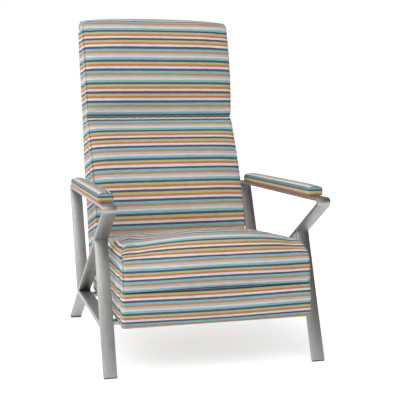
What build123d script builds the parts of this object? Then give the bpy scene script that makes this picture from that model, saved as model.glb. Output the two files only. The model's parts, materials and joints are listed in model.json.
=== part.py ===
"""Reclining armchair on two bent flat-bar side frames, one solid per piece.

Millimetres. +X is the chair's left-right direction, -Y is its front, +Z is up.
The outlines count Y from the front of the front feet and Z from the floor.
The finished pieces are moved so that Y is zero midway between front and rear.
"""
import math
import os

from build123d import *

os.makedirs("parts", exist_ok=True)

# Fits shared by the whole chair
seat_gap = 0.1
running_gap = 0.05
cloth_gap = 0.4
cut_overrun = 20.0

# Side frames of flat bar, seen from the side as Y and Z
frame_clearance = 19.0
bar_width = 42.0
bar_thick = 10.0
stretcher_thick = 16.0
rail_top_z = 526.0
rail_rear_y = 766.0
diagonal_foot_y = 850.0
knee_y = 143.0
knee_z = 401.7
bend_radius = 14.0
post_foot_y = 600.0
stretcher_z = 145.0

# Plastic glides under the four feet
glide_thick = 3.0
glide_inset = 1.0

# Arm boards and arm pads on the rails
arm_front_y = 32.0
arm_rear_y = 702.0
arm_board_thick = 8.0
arm_board_width = 34.0
arm_board_inset = 14.0
arm_pad_width = 50.0
arm_pad_side = 27.0
arm_pad_crown = 9.0
arm_pad_end_bulge = 3.0
arm_screw_radius = 3.0
arm_screw_head_radius = 6.0
arm_screw_head_thick = 3.0
arm_screw_depth = 6.0
arm_screw_shares = (0.13, 0.5, 0.87)

# Seat box of wooden rails, standing on plates between the stretchers
box_half_width = 294.0
box_rail_thick = 22.0
box_bottom_z = 156.2
box_top_z = 330.0
box_front_y = 34.0
box_rear_y = 606.0
front_rail_height = 30.0
rear_rail_y = 530.0
rear_rail_height = 130.0
tie_thick = 10.0
tie_width = 42.0
front_plate_y = 75.0
rear_tie_y = 515.0
box_bolt_radius = 4.0
box_bolt_depth = 30.0
box_bolt_head_radius = 7.0
box_bolt_head_thick = 5.0
side_cover_thick = 3.5
side_cover_bottom_z = 157.0

# Webbing straps of the seat
strap_thick = 2.0
strap_width = 60.0
seat_strap_count = 5

# Seat cushion with its front lip hanging before the front rail
cushion_overhang = 4.0
seat_front_y = -22.0
seat_rear_y = 588.0
seat_front_bulge = 15.0
seat_side_top_z = 378.0
seat_rear_top_z = 388.0
seat_crown = 32.0
seat_side_crown = 4.0
seat_edge_radius = 20.0
seat_edge_drop = 3.0
lip_bottom_z = 264.5
lip_back_y = 31.6

# Footrest panel under the front lip
footrest_top_z = 260.5
footrest_bottom_z = 156.0
footrest_front_y = -22.0
footrest_bulge = 9.0
footrest_edge = 8.0
footrest_end_inset = 12.0
footrest_pad_back_y = 10.0
footrest_board_thick = 14.0
footrest_board_margin = 13.0
footrest_board_inset = 5.0

# Footrest linkage, pivots given as Y and Z
drive_pivot_y = 104.0
drive_pivot_z = 274.0
knee_pivot_y = 246.0
knee_pivot_z = 184.0
foot_pivot_y = 42.0
foot_pivot_z = 241.0
link_thick = 5.4
link_half_width = 11.0
link_play = 0.4
link_pin_radius = 5.0
link_head_radius = 8.0
link_head_thick = 2.8
torque_bar_radius = 12.0
mechanism_plate_thick = 3.8
mechanism_plate_margin = 32.0
mechanism_plate_length = 130.0
footrest_bracket_flange = 22.0
footrest_bracket_flange_thick = 4.0
footrest_bracket_height = 62.0
footrest_screw_radius = 2.5
footrest_screw_depth = 8.0
footrest_screw_head_radius = 5.0
footrest_screw_head_thick = 2.5
footrest_screw_shares = (0.18, 0.55)

# Recline hinge
recline_y = 646.0
recline_z = 288.0
recline_pin_radius = 6.0
hinge_plate_half = 22.0
hinge_plate_start_y = 557.0
hinge_bracket_height_share = 0.0994

# Reclining back, its lines given as shares of its depth and height from the front of its foot
back_narrowing = 8.0
back_side_pad_inset = 3.0
back_panel_thick = 20.0
back_foot_y = 632.0
back_rear_y = 966.0
back_foot_z = 253.0
back_top_z = 1158.0
back_shoulder_share = 0.0586
cushion_front_shares = ((-0.1198, 0.1017), (-0.1138, 0.1624), (0.4341, 0.5801))
back_head_share = 0.6287
back_frame_shares = (
    (0.1677, 0.0994),
    (0.1976, 0.1657),
    (0.3293, 0.3337),
    (0.4192, 0.4387),
    (0.5868, 0.5735),
    (0.6377, 0.6674),
    (0.7784, 0.9492),
)
back_rear_shares = (
    (0.5389, 0.0),
    (0.6527, 0.2066),
    (0.7665, 0.3503),
    (0.8174, 0.4718),
    (0.8772, 0.6044),
    (0.982, 0.8586),
    (1.0, 0.9492),
)
back_strap_shares = (0.2122, 0.2895, 0.3856, 0.5061, 0.6199, 0.7149, 0.8088, 0.9028)
back_strap_height_share = 0.0663
back_top_corner_drop = 30.0
back_end_inset = 8.0
back_end_drop = 22.0
back_lumbar_bulge = 20.0
back_head_bulge = 20.0
back_crease_depth = 9.0
back_crease_half = 7.0
outer_panel_thick = 9.0
hinge_pocket_depth = 9.0
back_rail_thick = 22.0
back_rail_height = 50.0
back_bottom_rail_height = 60.0
back_rail_inset = 6.0

sides = (("left", -1.0), ("right", 1.0))


def polygon_prism(outline, x_from, x_to, mode=Mode.ADD):
    """Extrude a closed Y and Z outline along X between two stations."""
    with BuildSketch(Plane.YZ.offset(min(x_from, x_to))) as shape:
        with BuildLine():
            Polyline(*outline, close=True)
        make_face()
    extrude(shape.sketch, amount=abs(x_to - x_from), mode=mode)


def block(x_from, x_to, y_from, y_to, z_from, z_to, mode=Mode.ADD):
    """Box between six stations."""
    outline = ((y_from, z_from), (y_to, z_from), (y_to, z_to), (y_from, z_to))
    polygon_prism(outline, x_from, x_to, mode)


def disc_along_x(y, z, radius, x_from, x_to, mode=Mode.ADD):
    """Round bar or bore along X."""
    with BuildSketch(Plane.YZ.offset(min(x_from, x_to))) as shape:
        with Locations((y, z)):
            Circle(radius)
    extrude(shape.sketch, amount=abs(x_to - x_from), mode=mode)


def disc_along_z(x, y, radius, z_from, z_to, mode=Mode.ADD):
    """Round bar or bore along Z."""
    with BuildSketch(Plane.XY.offset(z_from)) as shape:
        with Locations((x, y)):
            Circle(radius)
    extrude(shape.sketch, amount=z_to - z_from, mode=mode)


def disc_along_y(x, z, radius, y_from, y_to, mode=Mode.ADD):
    """Round bar or bore along Y."""
    with BuildSketch(Plane.XZ.offset(-y_to)) as shape:
        with Locations((x, z)):
            Circle(radius)
    extrude(shape.sketch, amount=y_to - y_from, mode=mode)


def save(part, name):
    """Move a finished piece to the chair's origin, label it and write its file."""
    placed = part.moved(Location((0, -middle_y, 0)))
    placed.label = name
    export_step(placed, "parts/" + name + ".step")


def line_y(line, z):
    """Y of a rising polyline at height z."""
    for low, high in zip(line, line[1:]):
        if z <= high[1]:
            break
    return low[0] + (high[0] - low[0]) * (z - low[1]) / (high[1] - low[1])


def shifted(line, by_y):
    """The same line moved along Y."""
    return tuple((y + by_y, z) for y, z in line)


def back_point(depth_share, height_share):
    """Y and Z at shares of the back's depth and height."""
    y = back_foot_y + (back_rear_y - back_foot_y) * depth_share
    z = back_foot_z + (back_top_z - back_foot_z) * height_share
    return (y, z)


# Widths that follow the seat box
frame_half_width = box_half_width + frame_clearance + bar_width
cushion_half_width = box_half_width + cushion_overhang
footrest_board_half_width = cushion_half_width - footrest_board_margin
back_half_width = box_half_width - back_narrowing
back_side_pad_outer = back_half_width - back_side_pad_inset

# Lines of the back
back_front_line = tuple(back_point(*shares) for shares in cushion_front_shares)
back_frame_line = tuple(back_point(*shares) for shares in back_frame_shares)
back_rear_line = tuple(back_point(*shares) for shares in back_rear_shares)

# Slopes of the frame bars
diagonal_run = diagonal_foot_y - knee_y
diagonal_slope = knee_z / diagonal_run
diagonal_lift = bar_thick * math.hypot(knee_z, diagonal_run) / diagonal_run
leg_slope = knee_y / knee_z
leg_width_y = bar_thick * math.hypot(knee_y, knee_z) / knee_z
rail_bottom_z = rail_top_z - bar_thick
bar_inner = frame_half_width - bar_width
bar_middle = frame_half_width - bar_width / 2
foot_cut_z = glide_thick + seat_gap
stretcher_top_z = stretcher_z + stretcher_thick


# The chair's middle from front bend to rear panel
bend_apex_y = knee_y - (rail_top_z - knee_z) / diagonal_slope
bend_half_angle = math.atan(diagonal_slope) / 2
bend_front_y = bend_apex_y + bend_radius / math.tan(bend_half_angle) - bend_radius
middle_y = (bend_front_y + back_rear_y) / 2


def diagonal_z(y, lift):
    """Height of the diagonal's lower face at y, raised by lift."""
    return knee_z - diagonal_slope * (y - knee_y) + lift


def diagonal_y(z, lift):
    """Y where the diagonal's lower face, raised by lift, passes height z."""
    return knee_y - (z - knee_z - lift) / diagonal_slope


# Arm bars: rear leg, diagonal, tight front bend and rail from one flat bar
def arm_bar(side):
    """One bent bar with its screw holes through the rail."""
    lower_foot = (diagonal_y(foot_cut_z, 0), foot_cut_z)
    lower_apex = (diagonal_y(rail_top_z, 0), rail_top_z)
    rail_end_top = (rail_rear_y, rail_top_z)
    rail_end_bottom = (rail_rear_y, rail_bottom_z)
    upper_apex = (diagonal_y(rail_bottom_z, diagonal_lift), rail_bottom_z)
    upper_foot = (diagonal_y(foot_cut_z, diagonal_lift), foot_cut_z)
    x_low = min(side * bar_inner, side * frame_half_width)
    with BuildPart() as bar:
        with BuildSketch(Plane.YZ.offset(x_low)):
            with BuildLine():
                FilletPolyline(lower_foot, lower_apex, rail_end_top, radius=bend_radius)
                Line(rail_end_top, rail_end_bottom)
                FilletPolyline(rail_end_bottom, upper_apex, upper_foot, radius=bend_radius - bar_thick)
                Line(upper_foot, lower_foot)
            make_face()
        extrude(amount=bar_width)
        for y in arm_screw_ys:
            x = side * bar_middle
            hole_radius = arm_screw_radius + running_gap
            disc_along_z(x, y, hole_radius, rail_bottom_z - seat_gap, rail_top_z + seat_gap, Mode.SUBTRACT)
    return bar.part


arm_length = arm_rear_y - arm_front_y
arm_screw_ys = tuple(arm_front_y + arm_length * share for share in arm_screw_shares)
for side_name, side in sides:
    save(arm_bar(side), side_name + "_arm_bar")


# Front legs: straight bars cut level at the floor and butted under the diagonal
def front_leg(side):
    """Straight leaning bar."""
    lean_y = foot_cut_z * leg_slope
    top_front_y = knee_y
    rear_shift = leg_width_y
    share = 1 / (leg_slope * diagonal_slope + 1)
    top_rear_y = (rear_shift + leg_slope * (knee_z + diagonal_slope * knee_y)) * share
    outline = (
        (lean_y, foot_cut_z),
        (top_front_y, diagonal_z(top_front_y, -seat_gap)),
        (top_rear_y, diagonal_z(top_rear_y, -seat_gap)),
        (lean_y + rear_shift, foot_cut_z),
    )
    with BuildPart() as leg:
        polygon_prism(outline, side * bar_inner, side * frame_half_width)
    return leg.part


for side_name, side in sides:
    save(front_leg(side), side_name + "_front_leg")

# Rear posts: straight bars from the end of the rail down to the diagonal
post_foot_z = diagonal_z(post_foot_y, diagonal_lift + seat_gap)
post_top_z = rail_bottom_z - seat_gap
post_length = math.hypot(rail_rear_y - bar_thick - post_foot_y, post_top_z - post_foot_z)
post_width_y = bar_thick * post_length / (post_top_z - post_foot_z)
post_top_y = rail_rear_y - post_width_y
post_slope = (post_top_y - post_foot_y) / (post_top_z - post_foot_z)


def rear_post(side):
    """Straight bar leaning back, cut level on top and along the diagonal below."""
    drop = post_width_y / (1 + post_slope * diagonal_slope)
    foot_rear_y = post_foot_y + drop
    outline = (
        (post_foot_y, post_foot_z),
        (post_top_y, post_top_z),
        (rail_rear_y, post_top_z),
        (foot_rear_y, diagonal_z(foot_rear_y, diagonal_lift + seat_gap)),
    )
    with BuildPart() as post:
        polygon_prism(outline, side * bar_inner, side * frame_half_width)
    return post.part


for side_name, side in sides:
    save(rear_post(side), side_name + "_rear_post")


# Stretchers: level bars between front leg and diagonal
def stretcher(side):
    """Level bar with both ends cut to the leaning bars."""
    front_low = leg_width_y + seat_gap + stretcher_z * leg_slope
    front_high = leg_width_y + seat_gap + stretcher_top_z * leg_slope
    outline = (
        (front_low, stretcher_z),
        (diagonal_y(stretcher_z, -seat_gap), stretcher_z),
        (diagonal_y(stretcher_top_z, -seat_gap), stretcher_top_z),
        (front_high, stretcher_top_z),
    )
    with BuildPart() as bar:
        polygon_prism(outline, side * bar_inner, side * frame_half_width)
    return bar.part


for side_name, side in sides:
    save(stretcher(side), side_name + "_stretcher")

# Foot glides: four thin plastic pads
with BuildPart() as foot_glides:
    rear_front_y = diagonal_y(foot_cut_z, 0)
    rear_rear_y = diagonal_y(foot_cut_z, diagonal_lift)
    front_front_y = foot_cut_z * leg_slope
    for side_name, side in sides:
        x_from = side * (bar_inner + glide_inset)
        x_to = side * (frame_half_width - glide_inset)
        block(x_from, x_to, front_front_y, front_front_y + leg_width_y, 0, glide_thick)
        block(x_from, x_to, rear_front_y, rear_rear_y, 0, glide_thick)
save(foot_glides.part, "foot_glides")

# Arm boards: wooden strips screwed to the rails under the pads
arm_board_bottom_z = rail_top_z + seat_gap
arm_board_top_z = arm_board_bottom_z + arm_board_thick
board_front_y = arm_front_y + arm_board_inset
board_rear_y = arm_rear_y - arm_board_inset


def arm_board(side):
    """Strip with blind screw holes from below."""
    x_from = side * bar_middle - arm_board_width / 2
    x_to = side * bar_middle + arm_board_width / 2
    with BuildPart() as board:
        block(x_from, x_to, board_front_y, board_rear_y, arm_board_bottom_z, arm_board_top_z)
        for y in arm_screw_ys:
            hole_top_z = arm_board_bottom_z + arm_screw_depth + running_gap
            hole_radius = arm_screw_radius + running_gap
            disc_along_z(side * bar_middle, y, hole_radius, rail_top_z, hole_top_z, Mode.SUBTRACT)
    return board.part


for side_name, side in sides:
    save(arm_board(side), side_name + "_arm_board")


# Arm pads: crowned pads with square ends, hollowed below for the board
def arm_pad_section(side, y, side_height, crown, half):
    """Crowned outline across the arm at one station."""
    middle = side * bar_middle
    low = arm_board_bottom_z
    shoulder = low + side_height
    with BuildSketch(Plane.XZ.offset(-y)) as section:
        with BuildLine():
            Line((middle - half, low), (middle + half, low))
            Line((middle + half, low), (middle + half, shoulder))
            ThreePointArc((middle + half, shoulder), (middle, shoulder + crown), (middle - half, shoulder))
            Line((middle - half, shoulder), (middle - half, low))
        make_face()
    return section.sketch


def arm_pad(side):
    """Loft along the arm, then the pocket for the board."""
    half = arm_pad_width / 2
    end_half = half - arm_pad_end_bulge
    end_side = arm_pad_side - arm_pad_end_bulge
    stations = (
        (arm_rear_y, end_side, arm_pad_crown / 2, end_half),
        (arm_rear_y - arm_pad_side, arm_pad_side, arm_pad_crown, half),
        (arm_front_y + arm_pad_side, arm_pad_side, arm_pad_crown, half),
        (arm_front_y, end_side, arm_pad_crown / 2, end_half),
    )
    with BuildPart() as pad:
        loft([arm_pad_section(side, *station) for station in stations], ruled=True)
        pocket_half = arm_board_width / 2 + seat_gap
        pocket_front_y = board_front_y - seat_gap
        pocket_rear_y = board_rear_y + seat_gap
        x_from = side * bar_middle - pocket_half
        x_to = side * bar_middle + pocket_half
        pocket_top_z = arm_board_top_z + seat_gap
        block(x_from, x_to, pocket_front_y, pocket_rear_y, rail_top_z, pocket_top_z, Mode.SUBTRACT)
    return pad.part


for side_name, side in sides:
    save(arm_pad(side), side_name + "_arm_pad")

# Arm screws: pan-head screws from below the rails
with BuildPart() as arm_screws:
    for side_name, side in sides:
        for y in arm_screw_ys:
            head_top_z = rail_bottom_z - seat_gap
            shank_top_z = arm_board_bottom_z + arm_screw_depth
            x = side * bar_middle
            disc_along_z(x, y, arm_screw_head_radius, head_top_z - arm_screw_head_thick, head_top_z)
            disc_along_z(x, y, arm_screw_radius, head_top_z, shank_top_z)
save(arm_screws.part, "arm_screws")

# Ties between the frames: two short front plates and one full rear cross rail
tie_top_z = box_bottom_z - seat_gap
tie_bottom_z = tie_top_z - tie_thick
tie_outer = bar_inner - seat_gap
box_rail_inner = box_half_width - box_rail_thick
box_bolt_x = box_half_width - box_rail_thick / 2
front_bolt_y = front_plate_y + tie_width / 2
rear_bolt_y = rear_tie_y + tie_width / 2


def bolt_hole(side, y, z_from, z_to):
    """Bore for a seat box bolt."""
    disc_along_z(side * box_bolt_x, y, box_bolt_radius + running_gap, z_from, z_to, Mode.SUBTRACT)


with BuildPart() as front_mounting_plates:
    for side_name, side in sides:
        y_to = front_plate_y + tie_width
        block(side * box_rail_inner, side * tie_outer, front_plate_y, y_to, tie_bottom_z, tie_top_z)
        bolt_hole(side, front_bolt_y, tie_bottom_z - seat_gap, tie_top_z + seat_gap)
save(front_mounting_plates.part, "front_mounting_plates")

with BuildPart() as rear_cross_rail:
    block(-tie_outer, tie_outer, rear_tie_y, rear_tie_y + tie_width, tie_bottom_z, tie_top_z)
    for side_name, side in sides:
        bolt_hole(side, rear_bolt_y, tie_bottom_z - seat_gap, tie_top_z + seat_gap)
save(rear_cross_rail.part, "rear_cross_rail")

with BuildPart() as seat_box_bolts:
    for side_name, side in sides:
        for y in (front_bolt_y, rear_bolt_y):
            head_top_z = tie_bottom_z - seat_gap
            x = side * box_bolt_x
            disc_along_z(x, y, box_bolt_head_radius, head_top_z - box_bolt_head_thick, head_top_z)
            disc_along_z(x, y, box_bolt_radius, head_top_z, box_bottom_z + box_bolt_depth)
save(seat_box_bolts.part, "seat_box_bolts")


# Seat side rails: the long boards of the box
def seat_side_rail(side):
    """Board with blind bolt holes from below."""
    x_to = side * box_half_width
    with BuildPart() as rail:
        block(side * box_rail_inner, x_to, box_front_y, box_rear_y, box_bottom_z, box_top_z)
        for y in (front_bolt_y, rear_bolt_y):
            bolt_hole(side, y, tie_top_z, box_bottom_z + box_bolt_depth + running_gap)
    return rail.part


for side_name, side in sides:
    save(seat_side_rail(side), side_name + "_seat_side_rail")

# Seat front and rear rails between the side rails
cross_half = box_rail_inner - seat_gap
with BuildPart() as seat_front_rail:
    y_to = box_front_y + box_rail_thick
    block(-cross_half, cross_half, box_front_y, y_to, box_top_z - front_rail_height, box_top_z)
save(seat_front_rail.part, "seat_front_rail")

with BuildPart() as seat_rear_rail:
    y_to = rear_rail_y + box_rail_thick
    block(-cross_half, cross_half, rear_rail_y, y_to, box_top_z - rear_rail_height, box_top_z)
save(seat_rear_rail.part, "seat_rear_rail")

# Seat webbing: straps from the front rail to the rear rail
strap_bottom_z = box_top_z + seat_gap
strap_top_z = strap_bottom_z + strap_thick
with BuildPart() as seat_webbing:
    strap_pitch = 2 * cross_half / seat_strap_count
    first_x = -strap_pitch * (seat_strap_count - 1) / 2
    for index in range(seat_strap_count):
        x = first_x + strap_pitch * index
        x_from = x - strap_width / 2
        x_to = x + strap_width / 2
        block(x_from, x_to, box_front_y, rear_rail_y + box_rail_thick, strap_bottom_z, strap_top_z)
save(seat_webbing.part, "seat_webbing")

# Seat cushion: crowned across and along, with a front lip
cushion_bottom_z = strap_top_z + cloth_gap


def seat_section(x, crown_share, bulge_share, drop_share):
    """Side outline of the cushion at one station across the seat."""
    drop = seat_edge_drop * drop_share
    front_y = seat_front_y + drop
    front_middle_y = front_y - seat_front_bulge * bulge_share
    top_z = seat_side_top_z - drop
    rear_top_z = seat_rear_top_z - drop
    crown_z = (top_z + rear_top_z) / 2 + seat_side_crown + seat_crown * crown_share
    edge_top = (front_y + seat_edge_radius, top_z + seat_crown * crown_share / 2)
    edge_front = (front_y, top_z - seat_edge_radius)
    bend = math.cos(math.pi / 4)
    edge_middle = (
        edge_top[0] - (edge_top[0] - edge_front[0]) * bend,
        edge_front[1] + (edge_top[1] - edge_front[1]) * bend,
    )
    crown_y = (edge_top[0] + seat_rear_y) / 2
    with BuildSketch(Plane.YZ.offset(x)) as section:
        with BuildLine():
            Line((seat_rear_y, cushion_bottom_z), (lip_back_y, cushion_bottom_z))
            Line((lip_back_y, cushion_bottom_z), (lip_back_y, lip_bottom_z))
            Line((lip_back_y, lip_bottom_z), (front_y, lip_bottom_z))
            lip_middle = (front_middle_y, (lip_bottom_z + edge_front[1]) / 2)
            ThreePointArc((front_y, lip_bottom_z), lip_middle, edge_front)
            ThreePointArc(edge_front, edge_middle, edge_top)
            ThreePointArc(edge_top, (crown_y, crown_z), (seat_rear_y, rear_top_z))
            Line((seat_rear_y, rear_top_z), (seat_rear_y, cushion_bottom_z))
        make_face()
    return section.sketch


seat_station_shares = (
    (-1.0, 0.0, 0.3, 1.0),
    (-0.95, 0.35, 0.6, 0.0),
    (-0.6, 0.85, 0.9, 0.0),
    (0.0, 1.0, 1.0, 0.0),
    (0.6, 0.85, 0.9, 0.0),
    (0.95, 0.35, 0.6, 0.0),
    (1.0, 0.0, 0.3, 1.0),
)
seat_sections = [seat_section(cushion_half_width * share, *rest) for share, *rest in seat_station_shares]
with BuildPart() as seat_cushion:
    loft(seat_sections, ruled=True)
save(seat_cushion.part, "seat_cushion")


# Seat side covers: cloth-faced boards outside the side rails
def seat_side_cover(side):
    """Thin board over the whole side rail."""
    x_from = side * (box_half_width + seat_gap)
    x_to = side * (box_half_width + seat_gap + side_cover_thick)
    with BuildPart() as cover:
        block(x_from, x_to, box_front_y, box_rear_y, side_cover_bottom_z, strap_top_z)
    return cover.part


for side_name, side in sides:
    save(seat_side_cover(side), side_name + "_seat_side_cover")

# Layers of the footrest linkage, from the side rail inwards
plate_outer = box_rail_inner - seat_gap
plate_inner = plate_outer - mechanism_plate_thick
drive_outer = plate_inner - link_play
drive_inner = drive_outer - link_thick
extension_outer = drive_inner - link_play
extension_inner = extension_outer - link_thick
bracket_outer = extension_inner - link_play
bracket_inner = bracket_outer - link_thick
pin_bore = link_pin_radius + running_gap


# Mechanism plates: steel plates on the side rails that hold the drive pivots
def mechanism_plate(side):
    """Plate with one bore."""
    y_from = drive_pivot_y - mechanism_plate_margin
    z_from = drive_pivot_z - mechanism_plate_margin
    z_to = drive_pivot_z + mechanism_plate_margin
    with BuildPart() as plate:
        block(side * plate_inner, side * plate_outer, y_from, y_from + mechanism_plate_length, z_from, z_to)
        x_from = side * (plate_inner - seat_gap)
        x_to = side * (plate_outer + seat_gap)
        disc_along_x(drive_pivot_y, drive_pivot_z, pin_bore, x_from, x_to, Mode.SUBTRACT)
    return plate.part


for side_name, side in sides:
    save(mechanism_plate(side), side_name + "_mechanism_plate")


# Links: flat bars with round ends and a bore at each pivot
def link(side, start, end, x_inner, x_outer):
    """Bar between two pivots."""
    middle = ((start[0] + end[0]) / 2, (start[1] + end[1]) / 2)
    length = math.hypot(end[0] - start[0], end[1] - start[1])
    angle = math.degrees(math.atan2(end[1] - start[1], end[0] - start[0]))
    x_low = min(side * x_inner, side * x_outer)
    with BuildPart() as bar:
        with BuildSketch(Plane.YZ.offset(x_low)):
            with Locations(Location((middle[0], middle[1]), angle)):
                SlotCenterToCenter(length, 2 * link_half_width)
            with Locations(start, end):
                Circle(pin_bore, mode=Mode.SUBTRACT)
        extrude(amount=x_outer - x_inner)
    return bar.part


drive_pivot = (drive_pivot_y, drive_pivot_z)
knee_pivot = (knee_pivot_y, knee_pivot_z)
foot_pivot = (foot_pivot_y, foot_pivot_z)
for side_name, side in sides:
    save(link(side, drive_pivot, knee_pivot, drive_inner, drive_outer), side_name + "_drive_link")
for side_name, side in sides:
    part = link(side, knee_pivot, foot_pivot, extension_inner, extension_outer)
    save(part, side_name + "_extension_link")

# Torque bar: ties the two drive links together on the pivot axis
with BuildPart() as torque_bar:
    bar_end = drive_inner - seat_gap
    disc_along_x(drive_pivot_y, drive_pivot_z, torque_bar_radius, -bar_end, bar_end)
save(torque_bar.part, "torque_bar")


def pins(pivot, x_inner, x_outer, head_from, head_to):
    """One pin a side, with a head where there is room for one."""
    with BuildPart() as pair:
        for side_name, side in sides:
            disc_along_x(pivot[0], pivot[1], link_pin_radius, side * x_inner, side * x_outer)
            if head_to > head_from:
                disc_along_x(pivot[0], pivot[1], link_head_radius, side * head_from, side * head_to)
    return pair.part


# Pins of the linkage
save(pins(drive_pivot, drive_inner, plate_outer, 0, 0), "drive_pivot_pins")
knee_head = extension_inner - seat_gap
knee_pins = pins(knee_pivot, knee_head, drive_outer, knee_head - link_head_thick, knee_head)
save(knee_pins, "knee_pins")
foot_head = extension_outer + seat_gap
foot_pins = pins(foot_pivot, bracket_inner, foot_head, foot_head, foot_head + link_head_thick)
save(foot_pins, "footrest_pivot_pins")

# Footrest board behind the pad
board_front = footrest_pad_back_y + cloth_gap
board_back = board_front + footrest_board_thick
board_bottom_z = footrest_bottom_z + footrest_board_inset
board_top_z = footrest_top_z - footrest_board_inset
flange_back = board_back + seat_gap + footrest_bracket_flange_thick
bracket_top_z = foot_pivot_z + link_half_width
bracket_bottom_z = bracket_top_z - footrest_bracket_height
footrest_screw_x = bracket_inner - footrest_bracket_flange / 2
footrest_screw_zs = tuple(bracket_bottom_z + footrest_bracket_height * s for s in footrest_screw_shares)
screw_tip_y = board_back - footrest_screw_depth
screw_bore = footrest_screw_radius + running_gap
with BuildPart() as footrest_board:
    half = footrest_board_half_width
    block(-half, half, board_front, board_back, board_bottom_z, board_top_z)
    for side_name, side in sides:
        for z in footrest_screw_zs:
            x = side * footrest_screw_x
            disc_along_y(x, z, screw_bore, screw_tip_y - running_gap, board_back + seat_gap, Mode.SUBTRACT)
save(footrest_board.part, "footrest_board")


# Footrest brackets: angle brackets from the board to the extension links
def footrest_bracket(side):
    """Flange on the board and a web with the pivot bore."""
    web_rear = foot_pivot_y + link_half_width
    web_bottom_z = foot_pivot_z - link_half_width
    x_flange = bracket_inner - footrest_bracket_flange
    flange_front = board_back + seat_gap
    with BuildPart() as bracket:
        x_to = side * bracket_outer
        block(side * x_flange, x_to, flange_front, flange_back, bracket_bottom_z, bracket_top_z)
        block(side * bracket_inner, x_to, flange_front, web_rear, web_bottom_z, bracket_top_z)
        bore_from = side * (bracket_inner - seat_gap)
        bore_to = side * (bracket_outer + seat_gap)
        disc_along_x(foot_pivot_y, foot_pivot_z, pin_bore, bore_from, bore_to, Mode.SUBTRACT)
        for z in footrest_screw_zs:
            x = side * footrest_screw_x
            disc_along_y(x, z, screw_bore, board_back, flange_back + seat_gap, Mode.SUBTRACT)
    return bracket.part


for side_name, side in sides:
    save(footrest_bracket(side), side_name + "_footrest_bracket")

with BuildPart() as footrest_screws:
    for side_name, side in sides:
        for z in footrest_screw_zs:
            x = side * footrest_screw_x
            head_y = flange_back + seat_gap
            disc_along_y(x, z, footrest_screw_radius, screw_tip_y, head_y)
            disc_along_y(x, z, footrest_screw_head_radius, head_y, head_y + footrest_screw_head_thick)
save(footrest_screws.part, "footrest_screws")


# Footrest pad: soft panel with rounded front corners
def footrest_section(x, bulge_share, inset_share):
    """Side outline of the pad at one station."""
    inset = footrest_end_inset * inset_share
    front_y = footrest_front_y + inset
    low = footrest_bottom_z + inset / 2
    high = footrest_top_z - inset / 2
    front_middle_y = front_y - footrest_bulge * bulge_share
    with BuildSketch(Plane.YZ.offset(x)) as section:
        with BuildLine():
            Line((footrest_pad_back_y, high), (footrest_pad_back_y, low))
            Line((footrest_pad_back_y, low), (front_y + footrest_edge, low))
            Line((front_y + footrest_edge, low), (front_y, low + footrest_edge))
            middle = (front_middle_y, (low + high) / 2)
            ThreePointArc((front_y, low + footrest_edge), middle, (front_y, high - footrest_edge))
            Line((front_y, high - footrest_edge), (front_y + footrest_edge, high))
            Line((front_y + footrest_edge, high), (footrest_pad_back_y, high))
        make_face()
    return section.sketch


footrest_station_shares = (
    (-1.0, 0.1, 1.0),
    (-0.97, 0.4, 0.25),
    (-0.9, 0.7, 0.0),
    (0.0, 1.0, 0.0),
    (0.9, 0.7, 0.0),
    (0.97, 0.4, 0.25),
    (1.0, 0.1, 1.0),
)
pad_stations = ((cushion_half_width * share, *rest) for share, *rest in footrest_station_shares)
with BuildPart() as footrest_pad:
    loft([footrest_section(*station) for station in pad_stations], ruled=True)
save(footrest_pad.part, "footrest_pad")


# Recline hinge plates: steel plates on the side rails behind the rear rail
def hinge_plate(side):
    """Plate that carries the recline bore behind the box."""
    with BuildPart() as plate:
        with BuildSketch(Plane.YZ.offset(min(side * plate_inner, side * plate_outer))):
            with Locations(((hinge_plate_start_y + recline_y) / 2, recline_z)):
                Rectangle(recline_y - hinge_plate_start_y, 2 * hinge_plate_half)
            with Locations((recline_y, recline_z)):
                Circle(hinge_plate_half)
                Circle(recline_pin_radius + running_gap, mode=Mode.SUBTRACT)
        extrude(amount=mechanism_plate_thick)
    return plate.part


for side_name, side in sides:
    save(hinge_plate(side), side_name + "_recline_hinge_plate")

# Back side panels: shaped boards that carry the back
hinge_layer_outer = plate_inner - link_play
panel_outer = hinge_layer_outer - mechanism_plate_thick - seat_gap
panel_inner = panel_outer - back_panel_thick
outer_panel_front_line = shifted(back_rear_line, -outer_panel_thick)
panel_rear_line = shifted(outer_panel_front_line, -seat_gap)
side_panel_outline = (
    (back_foot_y, back_foot_z),
    back_point(0, back_shoulder_share),
    *back_frame_line,
    *reversed(panel_rear_line),
)


def back_side_panel(side):
    """Shaped board with the recline bore."""
    with BuildPart() as panel:
        polygon_prism(side_panel_outline, side * panel_inner, side * panel_outer)
        x_from = side * (panel_inner - seat_gap)
        x_to = side * (panel_outer + seat_gap)
        bore = recline_pin_radius + running_gap
        disc_along_x(recline_y, recline_z, bore, x_from, x_to, Mode.SUBTRACT)
    return panel.part


for side_name, side in sides:
    save(back_side_panel(side), side_name + "_back_side_panel")


# Back hinge brackets: steel straps on the outside of the panels
bracket_crest_z = recline_z + (back_top_z - back_foot_z) * hinge_bracket_height_share
bracket_crest_y = (line_y(back_frame_line, bracket_crest_z) + line_y(panel_rear_line, bracket_crest_z)) / 2


def hinge_bracket(side):
    """Strap rising from the recline bore along the panel."""
    x_inner = panel_outer + seat_gap
    x_low = min(side * x_inner, side * hinge_layer_outer)
    half = link_half_width
    with BuildPart() as bracket:
        with BuildSketch(Plane.YZ.offset(x_low)):
            with BuildLine():
                Polyline(
                    (recline_y - half, recline_z),
                    (recline_y + half, recline_z),
                    (bracket_crest_y + half, bracket_crest_z),
                    (bracket_crest_y - half, bracket_crest_z),
                    close=True,
                )
            make_face()
            with Locations((recline_y, recline_z)):
                Circle(half)
                Circle(recline_pin_radius + running_gap, mode=Mode.SUBTRACT)
        extrude(amount=hinge_layer_outer - x_inner)
    return bracket.part


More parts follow.
